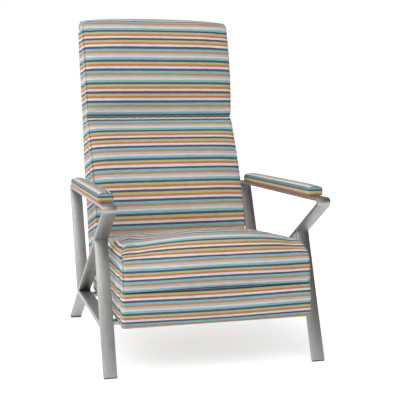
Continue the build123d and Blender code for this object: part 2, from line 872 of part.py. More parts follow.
for side_name, side in sides:
    save(hinge_bracket(side), side_name + "_back_hinge_bracket")

# Recline pins through hinge plate, bracket and panel
with BuildPart() as recline_pins:
    for side_name, side in sides:
        x_head = panel_inner - seat_gap
        disc_along_x(recline_y, recline_z, recline_pin_radius, side * x_head, side * plate_outer)
        x_head_end = x_head - link_head_thick
        disc_along_x(recline_y, recline_z, link_head_radius, side * x_head_end, side * x_head)
save(recline_pins.part, "recline_pins")

# Back rails between the side panels
back_cross_half = panel_inner - seat_gap


def back_rail(top_z, height):
    """Upright rail just before the rear edges of the panels."""
    z_from = top_z - height
    y_to = line_y(panel_rear_line, z_from) - back_rail_inset
    with BuildPart() as rail:
        block(-back_cross_half, back_cross_half, y_to - back_rail_thick, y_to, z_from, top_z)
    return rail.part


back_top_rail_z = back_frame_line[-1][1] - back_rail_inset
back_middle_rail_z = back_frame_line[4][1]
back_bottom_rail_z = back_foot_z + back_rail_inset + back_bottom_rail_height
save(back_rail(back_top_rail_z, back_rail_height), "back_top_rail")
save(back_rail(back_middle_rail_z, back_rail_height), "back_middle_rail")
save(back_rail(back_bottom_rail_z, back_bottom_rail_height), "back_bottom_rail")

# Back webbing: cross straps over the front edges of the panels
with BuildPart() as back_webbing:
    for share in back_strap_shares:
        z_low = back_point(0, share - back_strap_height_share / 2)[1]
        z_high = back_point(0, share + back_strap_height_share / 2)[1]
        front = -seat_gap - strap_thick
        outline = (
            (line_y(back_frame_line, z_low) - seat_gap, z_low),
            (line_y(back_frame_line, z_high) - seat_gap, z_high),
            (line_y(back_frame_line, z_high) + front, z_high),
            (line_y(back_frame_line, z_low) + front, z_low),
        )
        polygon_prism(outline, -panel_outer, panel_outer)
save(back_webbing.part, "back_webbing")

# Back cushion: lumbar and head bulges with a pulled-in crease between, rolled over the top
cushion_rear_line = shifted(back_frame_line, -strap_thick - seat_gap - cloth_gap)
frame_top_z = back_frame_line[-1][1]
roll_bottom_z = frame_top_z + cloth_gap


def back_section(x, bulge_share, inset_share, drop_share):
    """Side outline of the cushion at one station across the back."""
    inset = back_end_inset * inset_share
    top_z = back_top_z - back_end_drop * drop_share
    foot = (back_front_line[0][0] + inset, back_front_line[0][1])
    waist = (back_front_line[1][0] + inset, back_front_line[1][1])
    crease_y = back_front_line[-1][0] + inset
    crease_z = back_front_line[-1][1]
    chest = (crease_y - back_crease_depth / 2, crease_z - back_crease_half)
    head_low = (crease_y - back_crease_depth / 2, crease_z + back_crease_half)
    crease = (crease_y + back_crease_depth, crease_z)
    head_top = (back_point(back_head_share, 0)[0] + inset, top_z - back_top_corner_drop)
    lumbar_middle = (
        (waist[0] + chest[0]) / 2 - back_lumbar_bulge * bulge_share,
        (waist[1] + chest[1]) / 2,
    )
    head_middle = (
        (head_low[0] + head_top[0]) / 2 - back_head_bulge * bulge_share,
        (head_low[1] + head_top[1]) / 2,
    )
    rear_z = (top_z + roll_bottom_z) / 2
    top_middle = ((head_top[0] + back_rear_y) / 2, top_z)
    with BuildSketch(Plane.YZ.offset(x)) as section:
        with BuildLine():
            corner = (cushion_rear_line[-1][0], roll_bottom_z)
            Polyline((back_rear_y, roll_bottom_z), corner, *reversed(cushion_rear_line[:-1]))
            Line(cushion_rear_line[0], foot)
            Line(foot, waist)
            ThreePointArc(waist, lumbar_middle, chest)
            Line(chest, crease)
            Line(crease, head_low)
            ThreePointArc(head_low, head_middle, head_top)
            ThreePointArc(head_top, top_middle, (back_rear_y, rear_z))
            Line((back_rear_y, rear_z), (back_rear_y, roll_bottom_z))
        make_face()
    return section.sketch


back_station_shares = (
    (-1.0, 0.1, 1.0, 1.0),
    (-0.96, 0.3, 0.0, 0.4),
    (-0.7, 0.8, 0.0, 0.0),
    (0.0, 1.0, 0.0, 0.0),
    (0.7, 0.8, 0.0, 0.0),
    (0.96, 0.3, 0.0, 0.4),
    (1.0, 0.1, 1.0, 1.0),
)
with BuildPart() as back_cushion:
    loft([back_section(back_half_width * share, *rest) for share, *rest in back_station_shares], ruled=True)
save(back_cushion.part, "back_cushion")


# Back side pads: soft pads outside the side panels, pocketed over the hinge
def back_side_pad(side):
    """Pad that follows the panel's outline."""
    x_from = panel_outer + seat_gap
    with BuildPart() as pad:
        polygon_prism(side_panel_outline, side * x_from, side * back_side_pad_outer)
        pocket_x = side * (plate_outer + hinge_pocket_depth - mechanism_plate_thick)
        pocket_top_z = bracket_crest_z + hinge_plate_half
        pocket_rear_y = bracket_crest_y + 2 * link_half_width
        pocket_front_y = back_foot_y - cut_overrun
        pocket_low_z = back_foot_z - cut_overrun
        block(0, pocket_x, pocket_front_y, pocket_rear_y, pocket_low_z, pocket_top_z, Mode.SUBTRACT)
    return pad.part


for side_name, side in sides:
    save(back_side_pad(side), side_name + "_back_side_pad")

# Outer back panel: cloth-faced board closing the back from behind
with BuildPart() as outer_back_panel:
    outline = (*outer_panel_front_line, *reversed(back_rear_line))
    polygon_prism(outline, -back_side_pad_outer, back_side_pad_outer)
save(outer_back_panel.part, "outer_back_panel")
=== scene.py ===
import bpy
import json
import math
import numpy as np
from mathutils import Matrix, Vector


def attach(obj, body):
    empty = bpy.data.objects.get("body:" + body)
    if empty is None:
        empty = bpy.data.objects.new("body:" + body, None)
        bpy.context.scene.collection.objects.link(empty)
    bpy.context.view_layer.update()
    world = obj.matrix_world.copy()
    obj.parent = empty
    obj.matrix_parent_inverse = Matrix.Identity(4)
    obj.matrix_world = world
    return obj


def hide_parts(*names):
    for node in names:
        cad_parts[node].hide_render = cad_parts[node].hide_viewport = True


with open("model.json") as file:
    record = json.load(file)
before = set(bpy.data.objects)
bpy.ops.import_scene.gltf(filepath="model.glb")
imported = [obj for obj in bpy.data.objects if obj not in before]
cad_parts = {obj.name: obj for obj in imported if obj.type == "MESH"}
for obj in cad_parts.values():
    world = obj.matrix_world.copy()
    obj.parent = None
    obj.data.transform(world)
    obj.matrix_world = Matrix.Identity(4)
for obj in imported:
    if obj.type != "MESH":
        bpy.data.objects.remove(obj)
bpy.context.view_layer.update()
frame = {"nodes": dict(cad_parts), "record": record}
nodes = frame["nodes"]
print("frame loaded:", len(nodes), "nodes")

# all sizes below are millimetres, counted from the floor and from the front of the front feet
chairMiddle = 464.6


def spot(x, y, z):
    return Vector((x, y - chairMiddle, z)) / 1000


# small helpers for working as by hand
def clearSelection():
    if bpy.context.object and bpy.context.object.mode != "OBJECT":
        bpy.ops.object.mode_set(mode="OBJECT")
    bpy.ops.object.select_all(action="DESELECT")


def pick(piece):
    clearSelection()
    bpy.context.view_layer.objects.active = piece
    piece.select_set(True)


def applyAll(piece):
    pick(piece)
    for modifier in list(piece.modifiers):
        bpy.ops.object.modifier_apply(modifier=modifier.name)


def settle(piece):
    # the piece ends at the origin with its place in its mesh
    pick(piece)
    bpy.ops.object.transform_apply(location=True, rotation=True, scale=True)


def readPoints(piece):
    points = np.zeros(len(piece.data.vertices) * 3, np.float64)
    piece.data.vertices.foreach_get("co", points)
    return points.reshape(-1, 3)


def writePoints(piece, points):
    piece.data.vertices.foreach_set("co", points.ravel())
    piece.data.update()


def readNormals(piece):
    normals = np.zeros(len(piece.data.vertices) * 3, np.float64)
    piece.data.vertices.foreach_get("normal", normals)
    return normals.reshape(-1, 3)


def outlineBlock(name, outline, xFrom, xTo):
    # one point, pulled round the side outline, filled, then pulled across the chair
    clearSelection()
    first = spot(xFrom, *outline[0])
    bpy.ops.mesh.primitive_plane_add(size=0.01, location=first)
    piece = bpy.context.object
    piece.name = name
    bpy.ops.object.mode_set(mode="EDIT")
    bpy.ops.mesh.select_all(action="SELECT")
    bpy.ops.mesh.merge(type="CENTER")
    for here, there in zip(outline, outline[1:]):
        step = (0, (there[0] - here[0]) / 1000, (there[1] - here[1]) / 1000)
        bpy.ops.mesh.extrude_region_move(TRANSFORM_OT_translate={"value": step})
    bpy.ops.mesh.select_all(action="SELECT")
    bpy.ops.mesh.edge_face_add()
    across = ((xTo - xFrom) / 1000, 0, 0)
    bpy.ops.mesh.extrude_region_move(TRANSFORM_OT_translate={"value": across})
    bpy.ops.mesh.select_all(action="SELECT")
    bpy.ops.mesh.normals_make_consistent(inside=False)
    bpy.ops.object.mode_set(mode="OBJECT")
    settle(piece)
    return piece


def remeshed(piece, voxel):
    modifier = piece.modifiers.new("voxels", "REMESH")
    modifier.mode = "VOXEL"
    modifier.voxel_size = voxel / 1000
    modifier.use_smooth_shade = True
    applyAll(piece)


def smoothed(piece, rounds):
    modifier = piece.modifiers.new("ease", "SMOOTH")
    modifier.iterations = rounds
    applyAll(piece)


def subdivided(piece):
    modifier = piece.modifiers.new("fine", "SUBSURF")
    modifier.levels = 1
    modifier.render_levels = 1
    applyAll(piece)


def nearestOnPath(path, points):
    # for each point: length run along the path to the nearest place, and the distance from it
    path = np.asarray(path, float)
    starts, ends = path[:-1], path[1:]
    lengths = np.linalg.norm(ends - starts, axis=1)
    before = np.concatenate([[0], np.cumsum(lengths)])[:-1]
    bestRun = np.zeros(len(points))
    bestGap = np.full(len(points), 1e9)
    for start, end, length, run in zip(starts, ends, lengths, before):
        along = np.clip(((points - start) @ (end - start)) / max(length, 1e-9) ** 2, 0, 1)
        gap = np.linalg.norm(points - (start + along[:, None] * (end - start)), axis=1)
        closer = gap < bestGap
        bestGap[closer] = gap[closer]
        bestRun[closer] = run + along[closer] * length
    return bestRun, bestGap


clothStrength = {"tension": 20, "compression": 18, "shear": 8, "bending": 1.5}


def fillWithAir(piece, held, pressure, cap, frames=20):
    # cloth filled with air: held is a 0 to 1 weight of how firmly each point is sewn down
    start = readPoints(piece)
    group = piece.vertex_groups.new(name="sewn")
    for index, weight in enumerate(held):
        if weight > 0.01:
            group.add([index], float(weight), "REPLACE")
    modifier = piece.modifiers.new("air", "CLOTH")
    settings = modifier.settings
    settings.use_pressure = True
    settings.uniform_pressure_force = pressure
    settings.effector_weights.gravity = 0
    settings.vertex_group_mass = "sewn"
    settings.pin_stiffness = 1
    settings.tension_stiffness = clothStrength["tension"]
    settings.compression_stiffness = clothStrength["compression"]
    settings.shear_stiffness = clothStrength["shear"]
    settings.bending_stiffness = clothStrength["bending"]
    settings.quality = 5
    scene = bpy.context.scene
    for step in range(1, frames + 1):
        scene.frame_set(step)
    applyAll(piece)
    scene.frame_set(1)
    moved = readPoints(piece) - start
    reach = np.linalg.norm(moved, axis=1)
    limit = cap / 1000
    tamed = limit * np.tanh(reach / limit)  # soft cap on how far a point may move
    scale = np.where(reach > 1e-9, tamed / np.maximum(reach, 1e-9), 1)
    writePoints(piece, start + moved * scale[:, None])
    piece.vertex_groups.clear()


# camera at the photograph's viewing angle
cameraPlace = {
    "place": (-735.1, -2564.0, 787.8), "yaw": 0.26, "pitch": 0.0971, "roll": -0.0081,
    "focalPixels": 883.9, "imagePixels": 400, "sensor": 36,
}


def placeCamera():
    yaw, pitch, roll = cameraPlace["yaw"], cameraPlace["pitch"], cameraPlace["roll"]
    ahead = Vector((math.sin(yaw) * math.cos(pitch), math.cos(yaw) * math.cos(pitch), -math.sin(pitch)))
    level = Vector((math.cos(yaw), -math.sin(yaw), 0))
    upright = level.cross(ahead)
    right = level * math.cos(roll) + upright * math.sin(roll)
    up = upright * math.cos(roll) - level * math.sin(roll)
    data = bpy.data.cameras.new("camera")
    data.sensor_width = cameraPlace["sensor"]
    data.lens = cameraPlace["focalPixels"] * cameraPlace["sensor"] / cameraPlace["imagePixels"]
    data.clip_end = 60
    camera = bpy.data.objects.new("camera", data)
    bpy.context.scene.collection.objects.link(camera)
    turn = Matrix((right, up, -ahead)).transposed()
    camera.matrix_world = Matrix.Translation(spot(*cameraPlace["place"])) @ turn.to_4x4()
    bpy.context.scene.camera = camera


placeCamera()
print("camera placed")


# materials
def linearColor(hexCode):
    parts = [int(hexCode[i:i + 2], 16) / 255 for i in (1, 3, 5)]
    return tuple(p / 12.92 if p <= 0.04045 else ((p + 0.055) / 1.055) ** 2.4 for p in parts) + (1.0,)


def newMaterial(name):
    material = bpy.data.materials.new(name)
    material.use_nodes = True
    tree = material.node_tree
    tree.nodes.clear()
    return material, tree


def addNode(tree, kind, settings=None, links=None):
    # adds one node; a link value is a socket, anything else is written as the input's value
    node = tree.nodes.new("ShaderNode" + kind)
    for key, value in (settings or {}).items():
        setattr(node, key, value)
    for key, value in (links or {}).items():
        if isinstance(value, bpy.types.NodeSocket):
            tree.links.new(value, node.inputs[key])
        else:
            node.inputs[key].default_value = value
    return node


# Woven acrylic canvas, yarn-dyed: matt, with crisp thread-wide stripe edges and a little slub
stripeCloth = {
    "repeat": 153.6,        # one repeat of 24 stripes on the seat
    "threadPitch": 2.2,     # real yarn is near 0.9 mm; drawn coarser so that it shows
    "slubLength": 26.0,
    # seamWidth and the seam tone below set the width and darkness of a painted shade line along every seam
    "seamWidth": 2.5,
    "turquoise": "#86CFD7", "orange": "#DA945C", "silver": "#CACCCF", "shell": "#EDE5E4",
    "slate": "#5B6177", "mustard": "#DBC678", "coral": "#D58573", "white": "#EDF0F1",
    "order": "turquoise orange silver shell turquoise slate mustard coral white slate mustard coral "
             "white slate turquoise orange silver shell turquoise slate mustard coral white slate",
    "edgeWobble": 1.1, "shade": (0.86, 1.08), "fading": (0.96, 1.03), "paintedSeamShade": 0.08,
    "roughness": (0.78, 0.95), "sheen": 0.12,
}
stripeWidth = stripeCloth["repeat"] / len(stripeCloth["order"].split())


def weaveStripes():
    material, tree = newMaterial("yarn_dyed_striped_canvas")
    uv = addNode(tree, "UVMap", {"uv_map": "cloth"})
    parts = addNode(tree, "SeparateXYZ", None, {0: uv.outputs[0]})
    # loose threads push each stripe's edge about by a fraction of a thread
    wobblePlace = addNode(tree, "Mapping", None, {"Vector": uv.outputs[0], "Scale": (60, 260, 1)})
    wobble = addNode(tree, "TexNoise", {"noise_dimensions": "2D"}, {
        "Vector": wobblePlace.outputs[0], "Scale": 1.0, "Detail": 2.0,
    })
    centred = addNode(tree, "Math", {"operation": "SUBTRACT"}, {0: wobble.outputs[0], 1: 0.5})
    reach = stripeCloth["edgeWobble"] / 1000
    shift = addNode(tree, "Math", {"operation": "MULTIPLY"}, {0: centred.outputs[0], 1: reach})
    run = addNode(tree, "Math", {"operation": "ADD"}, {0: parts.outputs["Y"], 1: shift.outputs[0]})
    repeat = stripeCloth["repeat"] / 1000
    turns = addNode(tree, "Math", {"operation": "DIVIDE"}, {0: run.outputs[0], 1: repeat})
    share = addNode(tree, "Math", {"operation": "FRACT"}, {0: turns.outputs[0]})
    ramp = addNode(tree, "ValToRGB", None, {"Fac": share.outputs[0]})
    stripes = stripeCloth["order"].split()
    ramp.color_ramp.interpolation = "CONSTANT"
    stops = ramp.color_ramp.elements
    stops.remove(stops[1])
    for index, stripe in enumerate(stripes):
        stop = stops[0] if index == 0 else stops.new(index / len(stripes))
        stop.position = index / len(stripes)
        stop.color = linearColor(stripeCloth[stripe])
    # slubs: long faint light and dark streaks along the yarn
    slubPlace = addNode(tree, "Mapping", None, {
        "Vector": uv.outputs[0],
        "Scale": (1000 / stripeCloth["slubLength"], 1000 / stripeCloth["threadPitch"], 1),
    })
    slub = addNode(tree, "TexNoise", {"noise_dimensions": "2D"}, {
        "Vector": slubPlace.outputs[0], "Scale": 1.0, "Detail": 3.0, "Roughness": 0.6,
    })
    dark, light = stripeCloth["shade"]
    slubTone = addNode(tree, "MapRange", None, {
        "Value": slub.outputs[0], "From Min": 0.25, "From Max": 0.75, "To Min": dark, "To Max": light,
    })
    # broad soft fading, as cloth has after handling
    wearPlace = addNode(tree, "TexCoord")
    wear = addNode(tree, "TexNoise", None, {
        "Vector": wearPlace.outputs["Object"], "Scale": 9.0, "Detail": 2.0,
    })
    dark, light = stripeCloth["fading"]
    wearTone = addNode(tree, "MapRange", None, {
        "Value": wear.outputs[0], "From Min": 0.3, "From Max": 0.7, "To Min": dark, "To Max": light,
    })
    tone = addNode(tree, "Math", {"operation": "MULTIPLY"}, {0: slubTone.outputs[0], 1: wearTone.outputs[0]})
    # painted shade: the cloth colour is darkened along every seam and crease, standing in for the seam's
    # shadow line
    seam = addNode(tree, "Attribute", {"attribute_name": "seamGap"})
    near = addNode(tree, "Math", {"operation": "DIVIDE"}, {
        0: seam.outputs["Fac"], 1: stripeCloth["seamWidth"],
    })
    square = addNode(tree, "Math", {"operation": "MULTIPLY"}, {0: near.outputs[0], 1: near.outputs[0]})
    fade = addNode(tree, "Math", {"operation": "MULTIPLY"}, {0: square.outputs[0], 1: -1.0})
    fold = addNode(tree, "Math", {"operation": "EXPONENT"}, {0: fade.outputs[0]})
    paintedSeamShade = addNode(tree, "MapRange", None, {
        "Value": fold.outputs[0], "To Min": 1.0, "To Max": stripeCloth["paintedSeamShade"],
    })
    allTone = addNode(tree, "Math", {"operation": "MULTIPLY"}, {0: tone.outputs[0], 1: paintedSeamShade.outputs[0]})
    toned = addNode(tree, "VectorMath", {"operation": "SCALE"}, {
        0: ramp.outputs["Color"], "Scale": allTone.outputs[0],
    })
    # plain weave: threads up and across, one over the other
    threads = addNode(tree, "VectorMath", {"operation": "SCALE"}, {
        0: uv.outputs[0], "Scale": 2 * math.pi * 1000 / stripeCloth["threadPitch"],
    })
    threadParts = addNode(tree, "SeparateXYZ", None, {0: threads.outputs[0]})
    across = addNode(tree, "Math", {"operation": "SINE"}, {0: threadParts.outputs["X"]})
    along = addNode(tree, "Math", {"operation": "SINE"}, {0: threadParts.outputs["Y"]})
    weave = addNode(tree, "Math", {"operation": "MULTIPLY_ADD"}, {
        0: across.outputs[0], 1: along.outputs[0], 2: slub.outputs[0],
    })
    bump = addNode(tree, "Bump", None, {"Strength": 0.3, "Distance": 0.0006, "Height": weave.outputs[0]})
    smooth, coarse = stripeCloth["roughness"]
    rough = addNode(tree, "MapRange", None, {"Value": slub.outputs[0], "To Min": smooth, "To Max": coarse})
    canvas = addNode(tree, "BsdfPrincipled", None, {
        "Base Color": toned.outputs[0], "Roughness": rough.outputs[0], "Normal": bump.outputs[0],
        "Sheen Weight": stripeCloth["sheen"], "Sheen Roughness": 0.45, "Specular IOR Level": 0.25,
    })
    addNode(tree, "OutputMaterial", None, {"Surface": canvas.outputs[0]})
    return material


# Stainless flat bar, brushed along its length: satin, long fine grain, soft stretched highlights
barSteel = {"face": "#B4B4B3", "grainWidth": 1.6, "grainLength": 60.0, "roughness": 0.44}


def brushedSteel(name, alongBar):
    material, tree = newMaterial(name)
    if alongBar:
        uv = addNode(tree, "UVMap", {"uv_map": "grain"})
    else:
        uv = addNode(tree, "TexCoord")  # cross pieces: the grain runs from side to side
    where = uv.outputs[0] if alongBar else uv.outputs["Object"]
    place = addNode(tree, "Mapping", None, {
        "Vector": where,
        "Scale": (1000 / barSteel["grainLength"], 1000 / barSteel["grainWidth"], 1),
    })
    grain = addNode(tree, "TexNoise", {"noise_dimensions": "2D"}, {
        "Vector": place.outputs[0], "Scale": 1.0, "Detail": 4.0, "Roughness": 0.65,
    })
    blotch = addNode(tree, "TexNoise", {"noise_dimensions": "2D"}, {
        "Vector": where, "Scale": 14.0, "Detail": 3.0,
    })
    tone = addNode(tree, "MapRange", None, {
        "Value": grain.outputs[0], "From Min": 0.3, "From Max": 0.7, "To Min": 0.8, "To Max": 1.12,
    })
    cloud = addNode(tree, "MapRange", None, {
        "Value": blotch.outputs[0], "From Min": 0.3, "From Max": 0.7, "To Min": 0.94, "To Max": 1.04,
    })
    both = addNode(tree, "Math", {"operation": "MULTIPLY"}, {0: tone.outputs[0], 1: cloud.outputs[0]})
    face = linearColor(barSteel["face"])[:3]
    colour = addNode(tree, "VectorMath", {"operation": "SCALE"}, {0: face, "Scale": both.outputs[0]})
    rough = addNode(tree, "MapRange", None, {
        "Value": grain.outputs[0],
        "To Min": barSteel["roughness"] - 0.08, "To Max": barSteel["roughness"] + 0.12,
    })
    bump = addNode(tree, "Bump", None, {"Strength": 0.25, "Distance": 0.0002, "Height": grain.outputs[0]})
    metal = addNode(tree, "BsdfPrincipled", None, {
        "Base Color": colour.outputs[0], "Metallic": 1.0,
        "Roughness": rough.outputs[0], "Normal": bump.outputs[0],
    })
    addNode(tree, "OutputMaterial", None, {"Surface": metal.outputs[0]})
    return material


# Zinc-plated mild steel: dull, faint crystal clouds, small scuffs
def zincPlate():
    material, tree = newMaterial("zinc_plated_steel")
    place = addNode(tree, "TexCoord")
    spangle = addNode(tree, "TexVoronoi", None, {"Vector": place.outputs["Object"], "Scale": 170.0})
    scuff = addNode(tree, "TexNoise", None, {"Vector": place.outputs["Object"], "Scale": 60.0, "Detail": 5.0})
    mixed = addNode(tree, "Math", {"operation": "MULTIPLY_ADD"}, {
        0: spangle.outputs["Distance"], 1: 0.35, 2: scuff.outputs[0],
    })
    tone = addNode(tree, "MapRange", None, {
        "Value": mixed.outputs[0], "From Min": 0.3, "From Max": 0.9, "To Min": 0.8, "To Max": 1.1,
    })
    plate = linearColor("#9A9DA1")[:3]
    colour = addNode(tree, "VectorMath", {"operation": "SCALE"}, {0: plate, "Scale": tone.outputs[0]})
    rough = addNode(tree, "MapRange", None, {"Value": scuff.outputs[0], "To Min": 0.38, "To Max": 0.62})
    metal = addNode(tree, "BsdfPrincipled", None, {
        "Base Color": colour.outputs[0], "Metallic": 1.0, "Roughness": rough.outputs[0],
    })
    addNode(tree, "OutputMaterial", None, {"Surface": metal.outputs[0]})
    return material


# Sawn frame hardwood and ply: pale, straight grain along each board, dry
def frameWood():
    material, tree = newMaterial("sawn_frame_hardwood")
    place = addNode(tree, "TexCoord")
    grain = addNode(tree, "Mapping", None, {"Vector": place.outputs["Object"], "Scale": (3.0, 3.0, 48.0)})
    rings = addNode(tree, "TexNoise", None, {
        "Vector": grain.outputs[0], "Scale": 3.0, "Detail": 6.0, "Roughness": 0.6, "Distortion": 0.4,
    })
    pores = addNode(tree, "TexNoise", None, {"Vector": grain.outputs[0], "Scale": 22.0, "Detail": 2.0})
    ramp = addNode(tree, "ValToRGB", None, {"Fac": rings.outputs[0]})
    stops = ramp.color_ramp.elements
    for stop, position, shade in zip(stops, (0.32, 0.68), ("#A9835A", "#D3B48A")):
        stop.position = position
        stop.color = linearColor(shade)
    tone = addNode(tree, "MapRange", None, {
        "Value": pores.outputs[0], "From Min": 0.35, "From Max": 0.6, "To Min": 0.84, "To Max": 1.0,
    })
    colour = addNode(tree, "VectorMath", {"operation": "SCALE"}, {
        0: ramp.outputs["Color"], "Scale": tone.outputs[0],
    })
    bump = addNode(tree, "Bump", None, {"Strength": 0.3, "Distance": 0.0004, "Height": pores.outputs[0]})
    wood = addNode(tree, "BsdfPrincipled", None, {
        "Base Color": colour.outputs[0], "Roughness": 0.72, "Normal": bump.outputs[0],
    })
    addNode(tree, "OutputMaterial", None, {"Surface": wood.outputs[0]})
    return material


# Rubber-cored polypropylene webbing: charcoal, ribbed across, a little fluffy
def strapWebbing():
    material, tree = newMaterial("woven_elastic_webbing")
    place = addNode(tree, "TexCoord")
    ribs = addNode(tree, "TexWave", {"wave_type": "BANDS", "bands_direction": "DIAGONAL"}, {
        "Vector": place.outputs["Object"], "Scale": 90.0, "Distortion": 0.3,
    })
    fluff = addNode(tree, "TexNoise", None, {
        "Vector": place.outputs["Object"], "Scale": 240.0, "Detail": 3.0,
    })
    tone = addNode(tree, "MapRange", None, {"Value": fluff.outputs[0], "To Min": 0.7, "To Max": 1.3})
    charcoal = linearColor("#3A3A3E")[:3]
    colour = addNode(tree, "VectorMath", {"operation": "SCALE"}, {0: charcoal, "Scale": tone.outputs[0]})
    bump = addNode(tree, "Bump", None, {"Strength": 0.5, "Distance": 0.0006, "Height": ribs.outputs["Fac"]})
    strap = addNode(tree, "BsdfPrincipled", None, {
        "Base Color": colour.outputs[0], "Roughness": 0.9, "Normal": bump.outputs[0], "Sheen Weight": 0.2,
    })
    addNode(tree, "OutputMaterial", None, {"Surface": strap.outputs[0]})
    return material


# Moulded nylon glide: near black, fine moulded grain
def mouldedNylon():
    material, tree = newMaterial("moulded_black_nylon")
    place = addNode(tree, "TexCoord")
    grit = addNode(tree, "TexNoise", None, {"Vector": place.outputs["Object"], "Scale": 420.0, "Detail": 2.0})
    tone = addNode(tree, "MapRange", None, {"Value": grit.outputs[0], "To Min": 0.75, "To Max": 1.35})
    black = linearColor("#2B2B2D")[:3]
    colour = addNode(tree, "VectorMath", {"operation": "SCALE"}, {0: black, "Scale": tone.outputs[0]})
    bump = addNode(tree, "Bump", None, {"Strength": 0.3, "Distance": 0.0003, "Height": grit.outputs[0]})
    nylon = addNode(tree, "BsdfPrincipled", None, {
        "Base Color": colour.outputs[0], "Roughness": 0.55, "Normal": bump.outputs[0],
    })
    addNode(tree, "OutputMaterial", None, {"Surface": nylon.outputs[0]})
    return material


cloth = weaveStripes()
steel = brushedSteel("brushed_stainless_flat_bar", True)
crossSteel = brushedSteel("brushed_stainless_cross_bar", False)
zinc = zincPlate()
wood = frameWood()
webbing = strapWebbing()
nylon = mouldedNylon()
slotMaterials = {"brushed_steel": steel, "zinc_steel": zinc, "frame_wood": wood,
                 "striped_fabric": cloth, "webbing": webbing, "glide_plastic": nylon}


def dress(piece, material):
    piece.data.materials.clear()
    piece.data.materials.append(material)


for entry in frame["record"]["subparts"]:
    dress(nodes[entry["node"]], slotMaterials[entry["material_slot"]])
print("materials made")


# flat bars: each bar is copied from its solid, welded, and given rolled edges
barEdges = {"radius": 1.3, "segments": 2, "sameFace": 0.5}
barPaths = {
    "arm_bar": ((855, 0), (-76, 526), (766, 526)),
    "front_leg": ((5, 0), (147, 402)),
    "rear_post": ((606, 153), (761, 516)),
    "stretcher": ((50, 153), (590, 153)),
}


def layGrain(piece, path):
    # the grain map runs along the bar: first number along it, second across it
    points = readPoints(piece)
    flat = points[:, 1:3] * 1000 + np.array([chairMiddle, 0])
    run, _ = nearestOnPath(path, flat)
    layer = piece.data.uv_layers.new(name="grain")
    mesh = piece.data
    for polygon in mesh.polygons:
        wide = abs(polygon.normal.x) < 0.6
        for loop in polygon.loop_indices:
            vertex = mesh.loops[loop].vertex_index
            across = points[vertex, 0] if wide else points[vertex, 1] * 0.6 + points[vertex, 2] * 0.8
            layer.data[loop].uv = (run[vertex] / 1000, across)
    mesh.uv_layers.active = layer


def rolledBar(node, path):
    clearSelection()
    bar = nodes[node].copy()
    bar.data = nodes[node].data.copy()
    bpy.context.scene.collection.objects.link(bar)
    bar.parent = None
    bar.name = node + "_rolled"
    for key in list(bar.keys()):
        del bar[key]
    pick(bar)
    bpy.ops.object.mode_set(mode="EDIT")
    bpy.ops.mesh.select_all(action="SELECT")
    bpy.ops.mesh.remove_doubles(threshold=0.00002)
    bpy.ops.mesh.dissolve_limited(angle_limit=math.radians(barEdges["sameFace"]))
    bpy.ops.mesh.select_all(action="SELECT")
    bpy.ops.mesh.normals_make_consistent(inside=False)
    bpy.ops.object.mode_set(mode="OBJECT")
    modifier = bar.modifiers.new("rolled", "BEVEL")
    modifier.width = barEdges["radius"] / 1000
    modifier.segments = barEdges["segments"]
    modifier.limit_method = "ANGLE"
    modifier.angle_limit = math.radians(35)
    modifier.use_clamp_overlap = True
    applyAll(bar)
    bpy.ops.object.shade_smooth_by_angle(angle=math.radians(32))
    layGrain(bar, path)
    dress(bar, steel)
    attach(bar, "chassis")
    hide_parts(node)


for side in ("left", "right"):
    for part, path in barPaths.items():
        rolledBar(side + "_" + part, path)
for node in ("rear_cross_rail", "front_mounting_plates"):
    dress(nodes[node], crossSteel)
print("bars made")


# soft pieces: blocked out, remeshed, filled with air, then sewn
def ease(low, high, values):
    t = np.clip((values - low) / (high - low), 0, 1)
    return t * t * (3 - 2 * t)


def arch(low, high, values):
    return np.sin(np.clip((values - low) / (high - low), 0, 1) * math.pi)


def inMillimetres(piece):
    return readPoints(piece) * 1000 + np.array([0, chairMiddle, 0])


def backToMetres(piece, points):
    writePoints(piece, (points - np.array([0, chairMiddle, 0])) / 1000)


def noSeams(piece):
    return np.full(len(piece.data.vertices), 60.0)


def sew(piece, seams, line, depth, width, pucker=0.0, puckerPitch=15.0, phase=0.0, across=None):
    # pulls the cloth in along a line, gathers it beside the line, and keeps each point's distance from it for
    # the painted seam shade;
    # the distance changes sign from one side of the seam to the other, so that the painted shade line stays
    # thin
    points = inMillimetres(piece)
    normals = readNormals(piece)
    run, gap = nearestOnPath(line, points)
    fold = np.exp(-(gap / width) ** 2)
    lift = -depth * fold
    if pucker:
        beside = np.exp(-((gap - 7) / 7) ** 2)
        wave = np.sin(run * 2 * math.pi / puckerPitch + phase + 1.7 * np.sin(run / 41 + phase))
        lift = lift + pucker * beside * wave
    backToMetres(piece, points + normals * lift[:, None])
    side = np.where(np.abs(normals[:, 0]) > 0.7, 1, -1) if across is None else np.sign(across)
    closer = gap < np.abs(seams)
    seams[closer] = (gap * side)[closer]


def layCloth(piece, seams, top, side, facing=0, sideFrom=0.72, turned=None):
    # cloth map in millimetres, (along the yarn, down the stripes): faces turned to the facing axis use the
    # second pair, unless a list says which faces use it
    mesh = piece.data
    layer = mesh.uv_layers.new(name="cloth")
    corners = np.zeros(len(mesh.loops), np.int32)
    mesh.loops.foreach_get("vertex_index", corners)
    faceNormals = np.zeros(len(mesh.polygons) * 3)
    mesh.polygons.foreach_get("normal", faceNormals)
    counts = np.zeros(len(mesh.polygons), np.int32)
    mesh.polygons.foreach_get("loop_total", counts)
    if turned is None:
        turned = np.abs(faceNormals.reshape(-1, 3)[:, facing]) > sideFrom
    turned = np.repeat(turned, counts)
    pairs = [np.where(turned, side[i][corners], top[i][corners]) / 1000 for i in (0, 1)]
    layer.data.foreach_set("uv", np.stack(pairs, 1).ravel())
    mesh.uv_layers.active = layer
    # the seam distances drive the painted seam shade in the cloth material
    attribute = mesh.attributes.new("seamGap", "FLOAT", "POINT")
    attribute.data.foreach_set("value", seams)


def finishSoft(piece, body, replaced):
    for polygon in piece.data.polygons:
        polygon.use_smooth = True
    dress(piece, cloth)
    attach(piece, body)
    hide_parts(*replaced)



